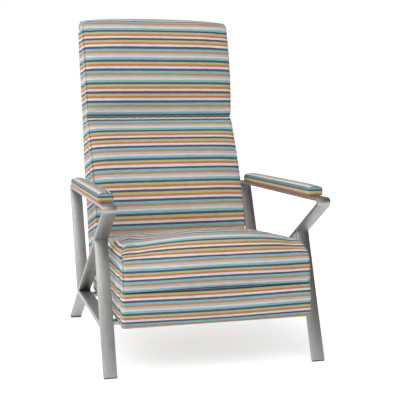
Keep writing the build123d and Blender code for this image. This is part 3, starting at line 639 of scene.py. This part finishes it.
# seat: waterfall cushion with a hanging front lip and boxed sides; its crown is highest just behind the lip,
# falls to the rear and is fuller on the left
seat = {
    "half": 298.5, "voxel": 6.5, "pressure": 4.0, "cap": 4.5, "fill": 0.75,
    "lipBottom": 263.4, "lipBack": 36, "underside": 333.0,
    "underPoints": ((586, 329), (33.2, 329), (33.2, 256), (-17, 256)),
    # each place of the side outline, and how far the cloth swells from it in the middle and near either side;
    # the swells were fitted to the stripe rows and the crest line of the photograph, in whole millimetres
    "outline": (
        (-23, 264), (-25, 285), (-25, 305), (-23, 328), (-15, 349), (1, 363),
        (26, 369), (70, 370), (140, 369), (240, 362), (400, 353), (586, 345),
    ),
    "middle": (
        (-4, 0), (-8, 0), (-9, 5), (-10, 21), (-15, 42), (-12, 58),
        (-8, 64), (0, 57), (0, 51), (0, 43), (0, 25), (0, 4),
    ),
    "nearLeft": (
        (-2, 0), (-4, 0), (-4, 2), (-3, 3), (2, 5), (4, 12),
        (3, 31), (-6, 49), (0, 40), (0, 30), (0, 12), (0, -3),
    ),
    "nearRight": (
        (-2, 0), (-4, 0), (-4, 2), (-3, 3), (2, 5), (4, 14),
        (3, 25), (-6, 26), (0, 21), (0, 21), (0, 10), (0, 0),
    ),
    "sideShare": 0.84, "flatness": 2.5, "edgeSquare": 4, "edgeRound": 0.6, "lean": 160.0,
    # the cloth is sewn down under and behind these places
    "sewnUnder": 340, "sewnFrom": 30, "sewnBehind": 578, "sewnHem": 268,
    "edgeSeam": {"depth": 2.4, "width": 3.0, "pucker": 0.9, "puckerPitch": 19},
    "stripeAt": (28.8, 267.2), "drawnUp": 4.0,
}


def swellWeights(x):
    # how much a place has of the middle's swell, of the left and right sides' swell, and of none
    share = np.clip(np.abs(x) / seat["half"], 0, 1)
    toSide = np.clip(share / seat["sideShare"], 0, 1) ** seat["flatness"]
    last = np.clip((share - seat["sideShare"]) / (1 - seat["sideShare"]), 0, 1)
    near = toSide * (1 - last ** seat["edgeSquare"]) ** seat["edgeRound"]
    rightward = ease(-seat["lean"], seat["lean"], x)
    return 1 - toSide, near * (1 - rightward), near * rightward, toSide - near


def middleShare(x, half):
    # 1 in the middle of the chair, easing to 0 well before its sides
    return (1 - np.clip(np.abs(x) / half, 0, 1) ** 2) ** 2


def lengthsAlong(path):
    return np.concatenate([[0], np.cumsum(np.hypot(*np.diff(np.array(path, float), axis=0).T))])


def makeSeat():
    outline = np.array(seat["outline"], float)
    piece = outlineBlock("seatCushion", seat["underPoints"] + seat["outline"], -seat["half"], seat["half"])
    remeshed(piece, seat["voxel"])
    smoothed(piece, 3)
    points = inMillimetres(piece)
    run, gap = nearestOnPath(outline, points[:, 1:3])
    places = lengthsAlong(outline)
    swells = [np.array(seat[part], float) for part in ("middle", "nearLeft", "nearRight")] + [outline * 0]
    onTop = ease(9, 5, gap)
    for weight, swell in zip(swellWeights(points[:, 0]), swells):
        for axis in (0, 1):
            points[:, axis + 1] += weight * onTop * np.interp(run, places, swell[:, axis])
    backToMetres(piece, points)
    attribute = piece.data.attributes.new("clothRun", "FLOAT", "POINT")
    attribute.data.foreach_set("value", run)
    smoothed(piece, 1)
    points = inMillimetres(piece)
    x, y, z = points.T
    held = np.zeros(len(points))
    held[(z < seat["sewnUnder"]) & (y > seat["sewnFrom"])] = 1
    held[(y > seat["sewnBehind"]) | (z < seat["sewnHem"])] = 1
    for side in (-1, 1):
        line = [(side * (seat["half"] - 2), p[0] + 2, p[1] - 2) for p in seat["outline"]]
        _, gap = nearestOnPath(line, points)
        held = np.maximum(held, np.exp(-(gap / 6) ** 2))
    held = np.maximum(held, 0.85 * ease(seat["half"] - 6, seat["half"] - 1, np.abs(x)))
    fillWithAir(piece, held, seat["pressure"], seat["cap"])
    subdivided(piece)
    seams = noSeams(piece)
    for side in (-1, 1):
        line = [(side * (seat["half"] - 1.5), p[0] + 1.5, p[1] - 1.0) for p in seat["outline"]]
        sew(piece, seams, line, phase=side, **seat["edgeSeam"])
    points = inMillimetres(piece)
    # flat hem that meets the footrest, and a flat underside that meets the side covers
    lowest = np.where(points[:, 1] > seat["lipBack"], seat["underside"], seat["lipBottom"])
    points[:, 2] = np.maximum(points[:, 2], lowest)
    backToMetres(piece, points)
    run = np.zeros(len(points))
    piece.data.attributes["clothRun"].data.foreach_get("value", run)
    start, height = seat["stripeAt"]
    hem, _ = nearestOnPath(outline, np.array([(-24.0, height)]))
    # the cloth is drawn up a little in the middle, so that the slate stripe at the hem widens there
    down = seat["drawnUp"] * middleShare(points[:, 0], seat["half"])
    for weight, swell in zip(swellWeights(points[:, 0]), swells):
        lengths = lengthsAlong(outline + swell)
        down += weight * (start - np.interp(run, places, lengths) + np.interp(hem[0], places, lengths))
    layCloth(piece, seams, (points[:, 0], down), (points[:, 1], start + height - points[:, 2]))
    finishSoft(piece, "chassis", ["seat_cushion"])


makeSeat()
print("seat made")

# footrest: upholstered panel, cloth turned round its ends and over the edge of its board
footrest = {
    "half": 299.5, "voxel": 5.0, "endRound": 11.0, "pressure": 3.5, "cap": 5.0, "fill": 0.85,
    "top": 261.6, "bottom": 153.0,
    "outline": (
        (9.5, 266), (-10, 266), (-19, 258), (-25, 244), (-27, 224), (-27.5, 208),
        (-27, 190), (-25, 168), (-19, 156), (-10, 148), (9.5, 148),
    ),
    "roundBefore": 8,
    "flap": ((2, 264), (24, 264), (24, 150), (2, 150)), "flapInner": 287.5,
    "sewnBehind": 4, "sewnTop": (250, 257), "sewnBottom": (164, 157), "sewnSide": (283, 291),
    "stripeAt": (86.4, 236.4), "drawnDown": 3.5,
}


def makeFootrest():
    piece = outlineBlock("footrestPad", footrest["outline"], -footrest["half"], footrest["half"])
    pick(piece)
    chosen = []
    for edge in piece.data.edges:
        ends = [piece.data.vertices[i].co for i in edge.vertices]
        outer = all(abs(abs(p.x) - footrest["half"] / 1000) < 1e-4 for p in ends)
        if outer and all(p.y < (footrest["roundBefore"] - chairMiddle) / 1000 for p in ends):
            chosen.append(edge.index)
    bpy.context.tool_settings.mesh_select_mode = (False, True, False)
    bpy.ops.object.mode_set(mode="EDIT")
    bpy.ops.mesh.select_all(action="DESELECT")
    bpy.ops.object.mode_set(mode="OBJECT")
    for index in chosen:
        piece.data.edges[index].select = True
    bpy.ops.object.mode_set(mode="EDIT")
    bpy.ops.mesh.bevel(offset=footrest["endRound"] / 1000, segments=4, clamp_overlap=True)
    bpy.ops.object.mode_set(mode="OBJECT")
    bpy.context.tool_settings.mesh_select_mode = (True, False, False)
    ends = [(side * footrest["flapInner"], side * footrest["half"]) for side in (-1, 1)]
    flaps = [outlineBlock("footrestFlap", footrest["flap"], inner, outer) for inner, outer in ends]
    pick(piece)
    for flap in flaps:
        flap.select_set(True)
    bpy.ops.object.join()
    remeshed(piece, footrest["voxel"])
    smoothed(piece, 3)
    points = inMillimetres(piece)
    held = np.zeros(len(points))
    held[points[:, 1] > footrest["sewnBehind"]] = 1
    held = np.maximum(held, 0.9 * ease(*footrest["sewnTop"], points[:, 2]))
    held = np.maximum(held, 0.9 * ease(*footrest["sewnBottom"], points[:, 2]))
    held = np.maximum(held, 0.8 * ease(*footrest["sewnSide"], np.abs(points[:, 0])))
    fillWithAir(piece, held, footrest["pressure"], footrest["cap"], frames=12)
    subdivided(piece)
    points = inMillimetres(piece)
    points[:, 2] = np.clip(points[:, 2], footrest["bottom"], footrest["top"])
    backToMetres(piece, points)
    seams = noSeams(piece)
    run, _ = nearestOnPath(footrest["outline"], points[:, 1:3])
    start, height = footrest["stripeAt"]
    zero, _ = nearestOnPath(footrest["outline"], np.array([(-26.0, height)]))
    level = start + height - points[:, 2]
    down = run - zero[0] + start - footrest["drawnDown"] * middleShare(points[:, 0], footrest["half"])
    layCloth(piece, seams, (points[:, 0], down), (points[:, 1], level))
    finishSoft(piece, "footrest", ["footrest_pad"])


makeFootrest()
print("footrest made")

# seat side covers: cloth over a thin layer of wadding on each side rail
seatSide = {
    "inner": 294.4, "outer": 297.6, "front": 34.5, "rear": 605.5, "top": 331.6, "bottom": 157.5, "cuts": 24,
    "puff": 2.6, "roundOver": 14, "hemDepth": 0.6, "hemOver": 5, "wave": 0.15, "waveRun": 31, "fill": 0.6,
    "joinsAt": 259.0, "below": (64.0, 258.8),
}


def makeSeatSide(side, name):
    outline = ((seatSide["rear"], seatSide["top"]), (seatSide["front"], seatSide["top"]),
               (seatSide["front"], seatSide["bottom"]), (seatSide["rear"], seatSide["bottom"]))
    piece = outlineBlock(name, outline, side * seatSide["inner"], side * seatSide["outer"])
    pick(piece)
    bpy.ops.object.mode_set(mode="EDIT")
    bpy.ops.mesh.select_all(action="SELECT")
    bpy.ops.mesh.subdivide(number_cuts=seatSide["cuts"])
    bpy.ops.object.mode_set(mode="OBJECT")
    points = inMillimetres(piece)
    x, y, z = points.T
    fromEnds = np.minimum(y - seatSide["front"], seatSide["rear"] - y)
    edge = np.minimum(fromEnds, np.minimum(seatSide["top"] - z, z - seatSide["bottom"]))
    out = ease(seatSide["inner"], seatSide["outer"], np.abs(x))
    roundness = ease(0, seatSide["roundOver"], edge)
    roundness += seatSide["wave"] * np.sin(y / seatSide["waveRun"]) * ease(8, 40, edge)
    hem = seatSide["hemDepth"] * (1 - ease(0, seatSide["hemOver"], edge))
    points[:, 0] += side * out * (seatSide["puff"] * roundness - hem)
    backToMetres(piece, points)
    start, height = seat["stripeAt"]
    lowStart, lowHeight = seatSide["below"]
    upper = (points[:, 1], start + height - points[:, 2])
    lower = (points[:, 1], lowStart + lowHeight - points[:, 2])
    # the upper part's stripes meet the seat's, the lower part's the footrest's
    heights = np.array([polygon.center.z for polygon in piece.data.polygons]) * 1000
    layCloth(piece, noSeams(piece), upper, lower, turned=heights < seatSide["joinsAt"])
    finishSoft(piece, "chassis", [name.replace("Cover", "_seat_side_cover")])


for side, name in ((-1, "leftCover"), (1, "rightCover")):
    makeSeatSide(side, name)
print("seat sides made")

# arm pads: long crowned pads with crisp sewn corners, stripes lengthwise
arm = {
    "inner": 310.0, "outer": 358.2, "front": 32.0, "rear": 702.0, "bottom": 526.6, "top": 552.0, "voxel": 3.6,
    "crown": 9.0, "endSquare": 9, "bulge": 2.5, "sideFrom": (18, 24), "endFrom": (330, 335), "fill": 0.8,
    "cornerSeam": {"depth": 0.7, "width": 1.8}, "stripe": 6.7, "firstStripe": 8.3,
}


def makeArmPad(side, name):
    low, high = sorted((side * arm["inner"], side * arm["outer"]))
    outline = ((arm["rear"], arm["bottom"]), (arm["rear"], arm["top"]), (arm["front"], arm["top"]),
               (arm["front"], arm["bottom"]))
    piece = outlineBlock(name, outline, low, high)
    remeshed(piece, arm["voxel"])
    smoothed(piece, 2)
    points = inMillimetres(piece)
    middle = (low + high) / 2
    x, y, z = points.T
    across = np.clip(1 - ((x - middle) / (high - middle)) ** 2, 0, 1) ** 0.6
    share = np.clip((y - arm["front"]) / (arm["rear"] - arm["front"]), 0, 1)
    lengthwise = np.clip(1 - np.abs(2 * share - 1) ** arm["endSquare"], 0, 1) ** 0.5
    upward = ease(arm["bottom"] + 6, arm["top"], z)
    points[:, 2] += arm["crown"] * across * (0.35 + 0.65 * lengthwise) * upward
    belly = arm["bulge"] * arch(arm["bottom"], arm["top"], z)
    atSides = ease(*arm["sideFrom"], np.abs(x - middle))
    atEnds = ease(*arm["endFrom"], np.abs(y - (arm["front"] + arm["rear"]) / 2))
    points[:, 0] += np.sign(x - middle) * 0.3 * belly * atSides
    points[:, 1] += np.where(share > 0.5, 1, -1) * belly * across * atEnds
    backToMetres(piece, points)
    subdivided(piece)
    seams = noSeams(piece)
    top = arm["top"]
    for edgeX in (low, high):
        line = [(edgeX, arm["front"], top), (edgeX, arm["rear"], top)]
        sew(piece, seams, line, **arm["cornerSeam"])
    for endY in (arm["front"], arm["rear"]):
        line = [(low, endY, top + 1), (middle, endY, top + 4), (high, endY, top + 1)]
        sew(piece, seams, line, **arm["cornerSeam"])
    points = inMillimetres(piece)
    points[:, 2] = np.maximum(points[:, 2], arm["bottom"])
    backToMetres(piece, points)
    section = (
        (low, arm["bottom"]), (low, top), ((low + middle) / 2, top + 7), (middle, top + 9),
        ((high + middle) / 2, top + 7), (high, top), (high, arm["bottom"]),
    )
    run, _ = nearestOnPath(section, points[:, [0, 2]])
    ratio = stripeWidth / arm["stripe"]
    start = arm["firstStripe"] * stripeWidth
    layCloth(piece, seams, (points[:, 1], start - run * ratio),
             (points[:, 0], start - (points[:, 2] - arm["bottom"]) * ratio), facing=1)
    finishSoft(piece, "chassis", [name.replace("ArmPad", "_arm_pad")])


for side, name in ((-1, "leftArmPad"), (1, "rightArmPad")):
    makeArmPad(side, name)
print("arm pads made")

# back: lumbar and head panels with a sewn-in crease between, rolled over the top rail
back = {
    "half": 283.0, "voxel": 6.5, "pressure": 4.0, "cap": 10.0, "fill": 0.75,
    "outline": (
        (893, 1114), (963, 1114), (963, 1128), (954, 1142), (934, 1151), (900, 1154),
        (868, 1149), (850, 1137), (843, 1118), (816, 1041), (795, 957), (782, 872),
        (776, 800), (779, 786), (789, 778), (775, 770), (768, 762), (720, 681),
        (672, 591), (631, 498), (598, 410), (594, 395), (595, 338), (610, 333),
        (688, 345), (698, 403), (742, 555), (772, 650), (828, 772), (845, 857),
    ),
    "crown": 14.0, "crownWay": (-0.94, 0.3), "lumbar": (385, 775), "head": (782, 1182),
    "topCrown": 10.0, "topFrom": (1118, 1145), "headWiden": 0.017, "widensOver": (650, 1120),
    "sewnUnder": 340, "seam": (786, 778),
    "crease": {"depth": 3.0, "width": 4.0, "pucker": 0.8, "puckerPitch": 37, "phase": 0.4},
    "edgeSeam": {"depth": 2.4, "width": 3.0, "pucker": 0.8, "puckerPitch": 23},
    "sideFall": ((350, 0.24), (1150, 0.02)), "headCloth": (1.335, 45.2), "lumbarCloth": (1.37, 21.4),
}
backPath = back["outline"][1:23]  # over the top and down the front to the hem


def backSideRun(points):
    # stripes of the side panels meet the front panel's stripes at the seam and fall a little to the rear
    front = np.array(backPath[5:], float)[::-1]
    runs, _ = nearestOnPath(backPath, front)
    heights, falls = np.array(back["sideFall"]).T
    behind = points[:, 1] - np.interp(points[:, 2], front[:, 1], front[:, 0])
    place = points[:, 2] + behind * np.interp(points[:, 2], heights, falls)
    beyond = np.maximum(place - front[-1, 1], 0)
    below = np.maximum(front[0, 1] - place, 0)
    return np.interp(place, front[:, 1], runs) - beyond + below


def backStripes(run):
    # head and lumbar panels are cut apart: each has its own stripe at the seam and its own stretch
    seamRun, _ = nearestOnPath(backPath, np.array([back["seam"]], float))
    headStretch, headStripe = back["headCloth"]
    lumbarStretch, lumbarStripe = back["lumbarCloth"]
    past = run - seamRun[0]
    onHead = past / headStretch + headStripe * stripeWidth
    onLumbar = past / lumbarStretch + lumbarStripe * stripeWidth
    return np.where(past < 0, onHead, onLumbar)


def backCloth(piece, seams):
    points = inMillimetres(piece)
    run, _ = nearestOnPath(backPath, points[:, 1:3])
    scale = 1 / back["lumbarCloth"][0]
    layCloth(piece, seams, (points[:, 0] * scale, backStripes(run)),
             (points[:, 1] * scale, backStripes(backSideRun(points))))


def widenHead(points):
    points[:, 0] *= 1 + back["headWiden"] * ease(*back["widensOver"], points[:, 2])


def makeBack():
    piece = outlineBlock("backCushion", back["outline"], -back["half"], back["half"])
    remeshed(piece, back["voxel"])
    smoothed(piece, 3)
    points = inMillimetres(piece)
    x, _, z = points.T
    across = np.sqrt(np.clip(1 - np.abs(x / (back["half"] + 2)) ** 5, 0, 1))
    front = nearestOnPath(back["outline"][7:23], points[:, 1:3])[1] < 14
    lumbar = arch(*back["lumbar"], z) ** 0.7
    head = arch(*back["head"], z) ** 0.7
    push = back["crown"] * across * np.maximum(lumbar, head) * front
    points[:, 1] += push * back["crownWay"][0]
    points[:, 2] += push * back["crownWay"][1]
    share = np.clip(np.abs(x / back["half"]), 0, 1)
    points[:, 2] += back["topCrown"] * (0.45 - share ** 4) * ease(*back["topFrom"], z)
    backToMetres(piece, points)
    smoothed(piece, 2)
    points = inMillimetres(piece)
    x, _, z = points.T
    held = np.zeros(len(points))
    rear = nearestOnPath(back["outline"][23:] + back["outline"][:2], points[:, 1:3])[1] < 7
    held[rear] = 1
    held[z < back["sewnUnder"]] = 1
    seamLine = [(s * back["half"], *back["seam"]) for s in (-1, 1)]
    _, gap = nearestOnPath(seamLine, points)
    held = np.maximum(held, np.exp(-(gap / 7) ** 2))
    for side in (-1, 1):
        line = [(side * (back["half"] - 2), p[0] + 2, p[1] - 1) for p in back["outline"][2:23]]
        _, gap = nearestOnPath(line, points)
        held = np.maximum(held, np.exp(-(gap / 6) ** 2))
    held = np.maximum(held, 0.85 * ease(back["half"] - 6, back["half"] - 1, np.abs(x)))
    fillWithAir(piece, held, back["pressure"], back["cap"])
    subdivided(piece)
    seams = noSeams(piece)
    crease = [(s * (back["half"] + 2), back["seam"][0] - 3, back["seam"][1]) for s in (-1, 1)]
    above = inMillimetres(piece)[:, 2] - back["seam"][1]
    sew(piece, seams, crease, across=above, **back["crease"])
    for side in (-1, 1):
        line = [(side * (back["half"] - 1.5), p[0] + 1.5, p[1]) for p in back["outline"][4:23]]
        sew(piece, seams, line, phase=side * 2, **back["edgeSeam"])
    backCloth(piece, seams)
    points = inMillimetres(piece)
    widenHead(points)
    backToMetres(piece, points)
    finishSoft(piece, "back", ["back_cushion"])


makeBack()
print("back made")

# back sides: padded panels between the cushion and the outer back, hollowed inside round the hinge plates
backSide = {
    "inner": 264.6, "outer": 283.4, "voxel": 4.6, "pocketTop": 404.0, "pocketX": 277.8, "fill": 0.8,
    "puff": 1.6, "faceFrom": (278, 283), "roundOver": (2, 22),
    "outline": (
        (633.5, 254.5), (633.5, 305), (689.5, 342), (699.5, 402), (743.5, 554), (773.5, 649), (829.5, 771),
        (846.5, 856), (893, 1111), (956, 1111), (950, 1030), (915, 800), (895, 680), (878, 570), (840, 440),
        (802, 254.5),
    ),
}


def makeBackSide(side, name):
    piece = outlineBlock(name, backSide["outline"], side * backSide["inner"], side * backSide["outer"])
    remeshed(piece, backSide["voxel"])
    smoothed(piece, 2)
    points = inMillimetres(piece)
    x, _, z = points.T
    _, edge = nearestOnPath(backSide["outline"] + backSide["outline"][:1], points[:, 1:3])
    out = ease(*backSide["faceFrom"], np.abs(x))
    points[:, 0] += side * out * backSide["puff"] * ease(*backSide["roundOver"], edge)
    low = z < backSide["pocketTop"]
    points[low, 0] = side * np.maximum(np.abs(points[low, 0]), backSide["pocketX"])
    widenHead(points)
    backToMetres(piece, points)
    backCloth(piece, noSeams(piece))
    finishSoft(piece, "back", [name.replace("BackSide", "_back_side_pad")])


for side, name in ((-1, "leftBackSide"), (1, "rightBackSide")):
    makeBackSide(side, name)
print("back sides made")

# outer back: one taut cloth panel over thin wadding, hemmed at the sides
outerBack = {
    "half": 282.6, "deep": 8.0, "cuts": 9, "fill": 0.6,
    "puff": 2.4, "roundOver": 60, "hemDepth": 2.2, "hemOver": 6,
    "line": (
        (812, 254), (828, 335), (850, 440), (869, 505), (888, 570),
        (905, 680), (925, 800), (942, 915), (960, 1030), (966, 1111),
    ),
}


def makeOuterBack():
    line = outerBack["line"]
    inner = [(y - outerBack["deep"], z) for y, z in reversed(line)]
    piece = outlineBlock("outerBackPanel", tuple(line) + tuple(inner), -outerBack["half"], outerBack["half"])
    pick(piece)
    bpy.ops.object.mode_set(mode="EDIT")
    bpy.ops.mesh.select_all(action="SELECT")
    bpy.ops.mesh.subdivide(number_cuts=outerBack["cuts"])
    bpy.ops.object.mode_set(mode="OBJECT")
    points = inMillimetres(piece)
    x, _, z = points.T
    _, fromRear = nearestOnPath(line, points[:, 1:3])
    edge = np.minimum.reduce([outerBack["half"] - np.abs(x), line[-1][1] - z, z - line[0][1]])
    taut = ease(6, 0, fromRear)
    hem = outerBack["hemDepth"] * (1 - ease(0, outerBack["hemOver"], edge))
    points[:, 1] += taut * (outerBack["puff"] * ease(0, outerBack["roundOver"], edge) - hem)
    backToMetres(piece, points)
    scale = 1 / back["lumbarCloth"][0]
    run, _ = nearestOnPath(line[::-1], points[:, 1:3])
    pair = (points[:, 0] * scale, run * scale)
    layCloth(piece, noSeams(piece), pair, (points[:, 1] * scale, run * scale))
    finishSoft(piece, "back", ["outer_back_panel"])


makeOuterBack()
print("outer back made")


# stage and light
stageLight = {
    "floorTone": "#F2F2F2", "lift": 0.62, "fill": 1.08, "darkSide": 0.03, "aim": (0, 0, 0.5),
    "keyLamp": {"place": (-1.6, -2.6, 3.2), "size": 2.4, "power": 45.0},
    "sideLamp": {"place": (2.8, 1.4, 1.7), "size": 1.8, "power": 14.0},
}


def makeStage():
    clearSelection()
    bpy.ops.mesh.primitive_plane_add(size=24, location=(0, 0, 0))
    floor = bpy.context.object
    floor.name = "floor"
    material, tree = newMaterial("plain_white_floor")
    rays = addNode(tree, "LightPath")
    seen = addNode(tree, "Math", {"operation": "MAXIMUM"}, {
        0: rays.outputs["Is Camera Ray"], 1: rays.outputs["Is Glossy Ray"],
    })
    seenAll = addNode(tree, "Math", {"operation": "MAXIMUM"}, {
        0: seen.outputs[0], 1: rays.outputs["Is Transmission Ray"],
    })
    lift = addNode(tree, "Math", {"operation": "MULTIPLY"}, {0: seenAll.outputs[0], 1: stageLight["lift"]})
    matt = addNode(tree, "BsdfDiffuse", None, {"Color": linearColor(stageLight["floorTone"])})
    glow = addNode(tree, "Emission", None, {"Strength": lift.outputs[0]})
    both = addNode(tree, "AddShader", None, {0: matt.outputs[0], 1: glow.outputs[0]})
    addNode(tree, "OutputMaterial", None, {"Surface": both.outputs[0]})
    dress(floor, material)
    world = bpy.data.worlds.new("studio")
    bpy.context.scene.world = world
    world.use_nodes = True
    tree = world.node_tree
    tree.nodes.clear()
    rays = addNode(tree, "LightPath")
    # the studio is bright to the left and dim to the right; what the camera sees of it is plain white
    toward = addNode(tree, "TexCoord")
    side = addNode(tree, "SeparateXYZ", None, {0: toward.outputs["Generated"]})
    studio = addNode(tree, "MapRange", None, {
        "Value": side.outputs["X"], "From Min": -0.35, "From Max": 0.45,
        "To Min": stageLight["fill"], "To Max": stageLight["darkSide"],
    })
    strength = addNode(tree, "MapRange", None, {
        "Value": rays.outputs["Is Camera Ray"], "To Min": studio.outputs[0], "To Max": 1.0,
    })
    sky = addNode(tree, "Background", None, {"Color": (1, 1, 1, 1), "Strength": strength.outputs[0]})
    addNode(tree, "OutputWorld", None, {"Surface": sky.outputs[0]})


def softLamp(name, place, size, power):
    data = bpy.data.lights.new(name, "AREA")
    data.shape = "RECTANGLE"
    data.size = size
    data.size_y = size
    data.energy = power
    lamp = bpy.data.objects.new(name, data)
    bpy.context.scene.collection.objects.link(lamp)
    lamp.location = place
    toward = Vector(stageLight["aim"]) - Vector(place)
    lamp.rotation_euler = toward.to_track_quat("-Z", "Y").to_euler()


makeStage()
for name in ("keyLamp", "sideLamp"):
    softLamp(name, **stageLight[name])
bpy.context.scene.view_settings.view_transform = "Standard"
print("stage lit")
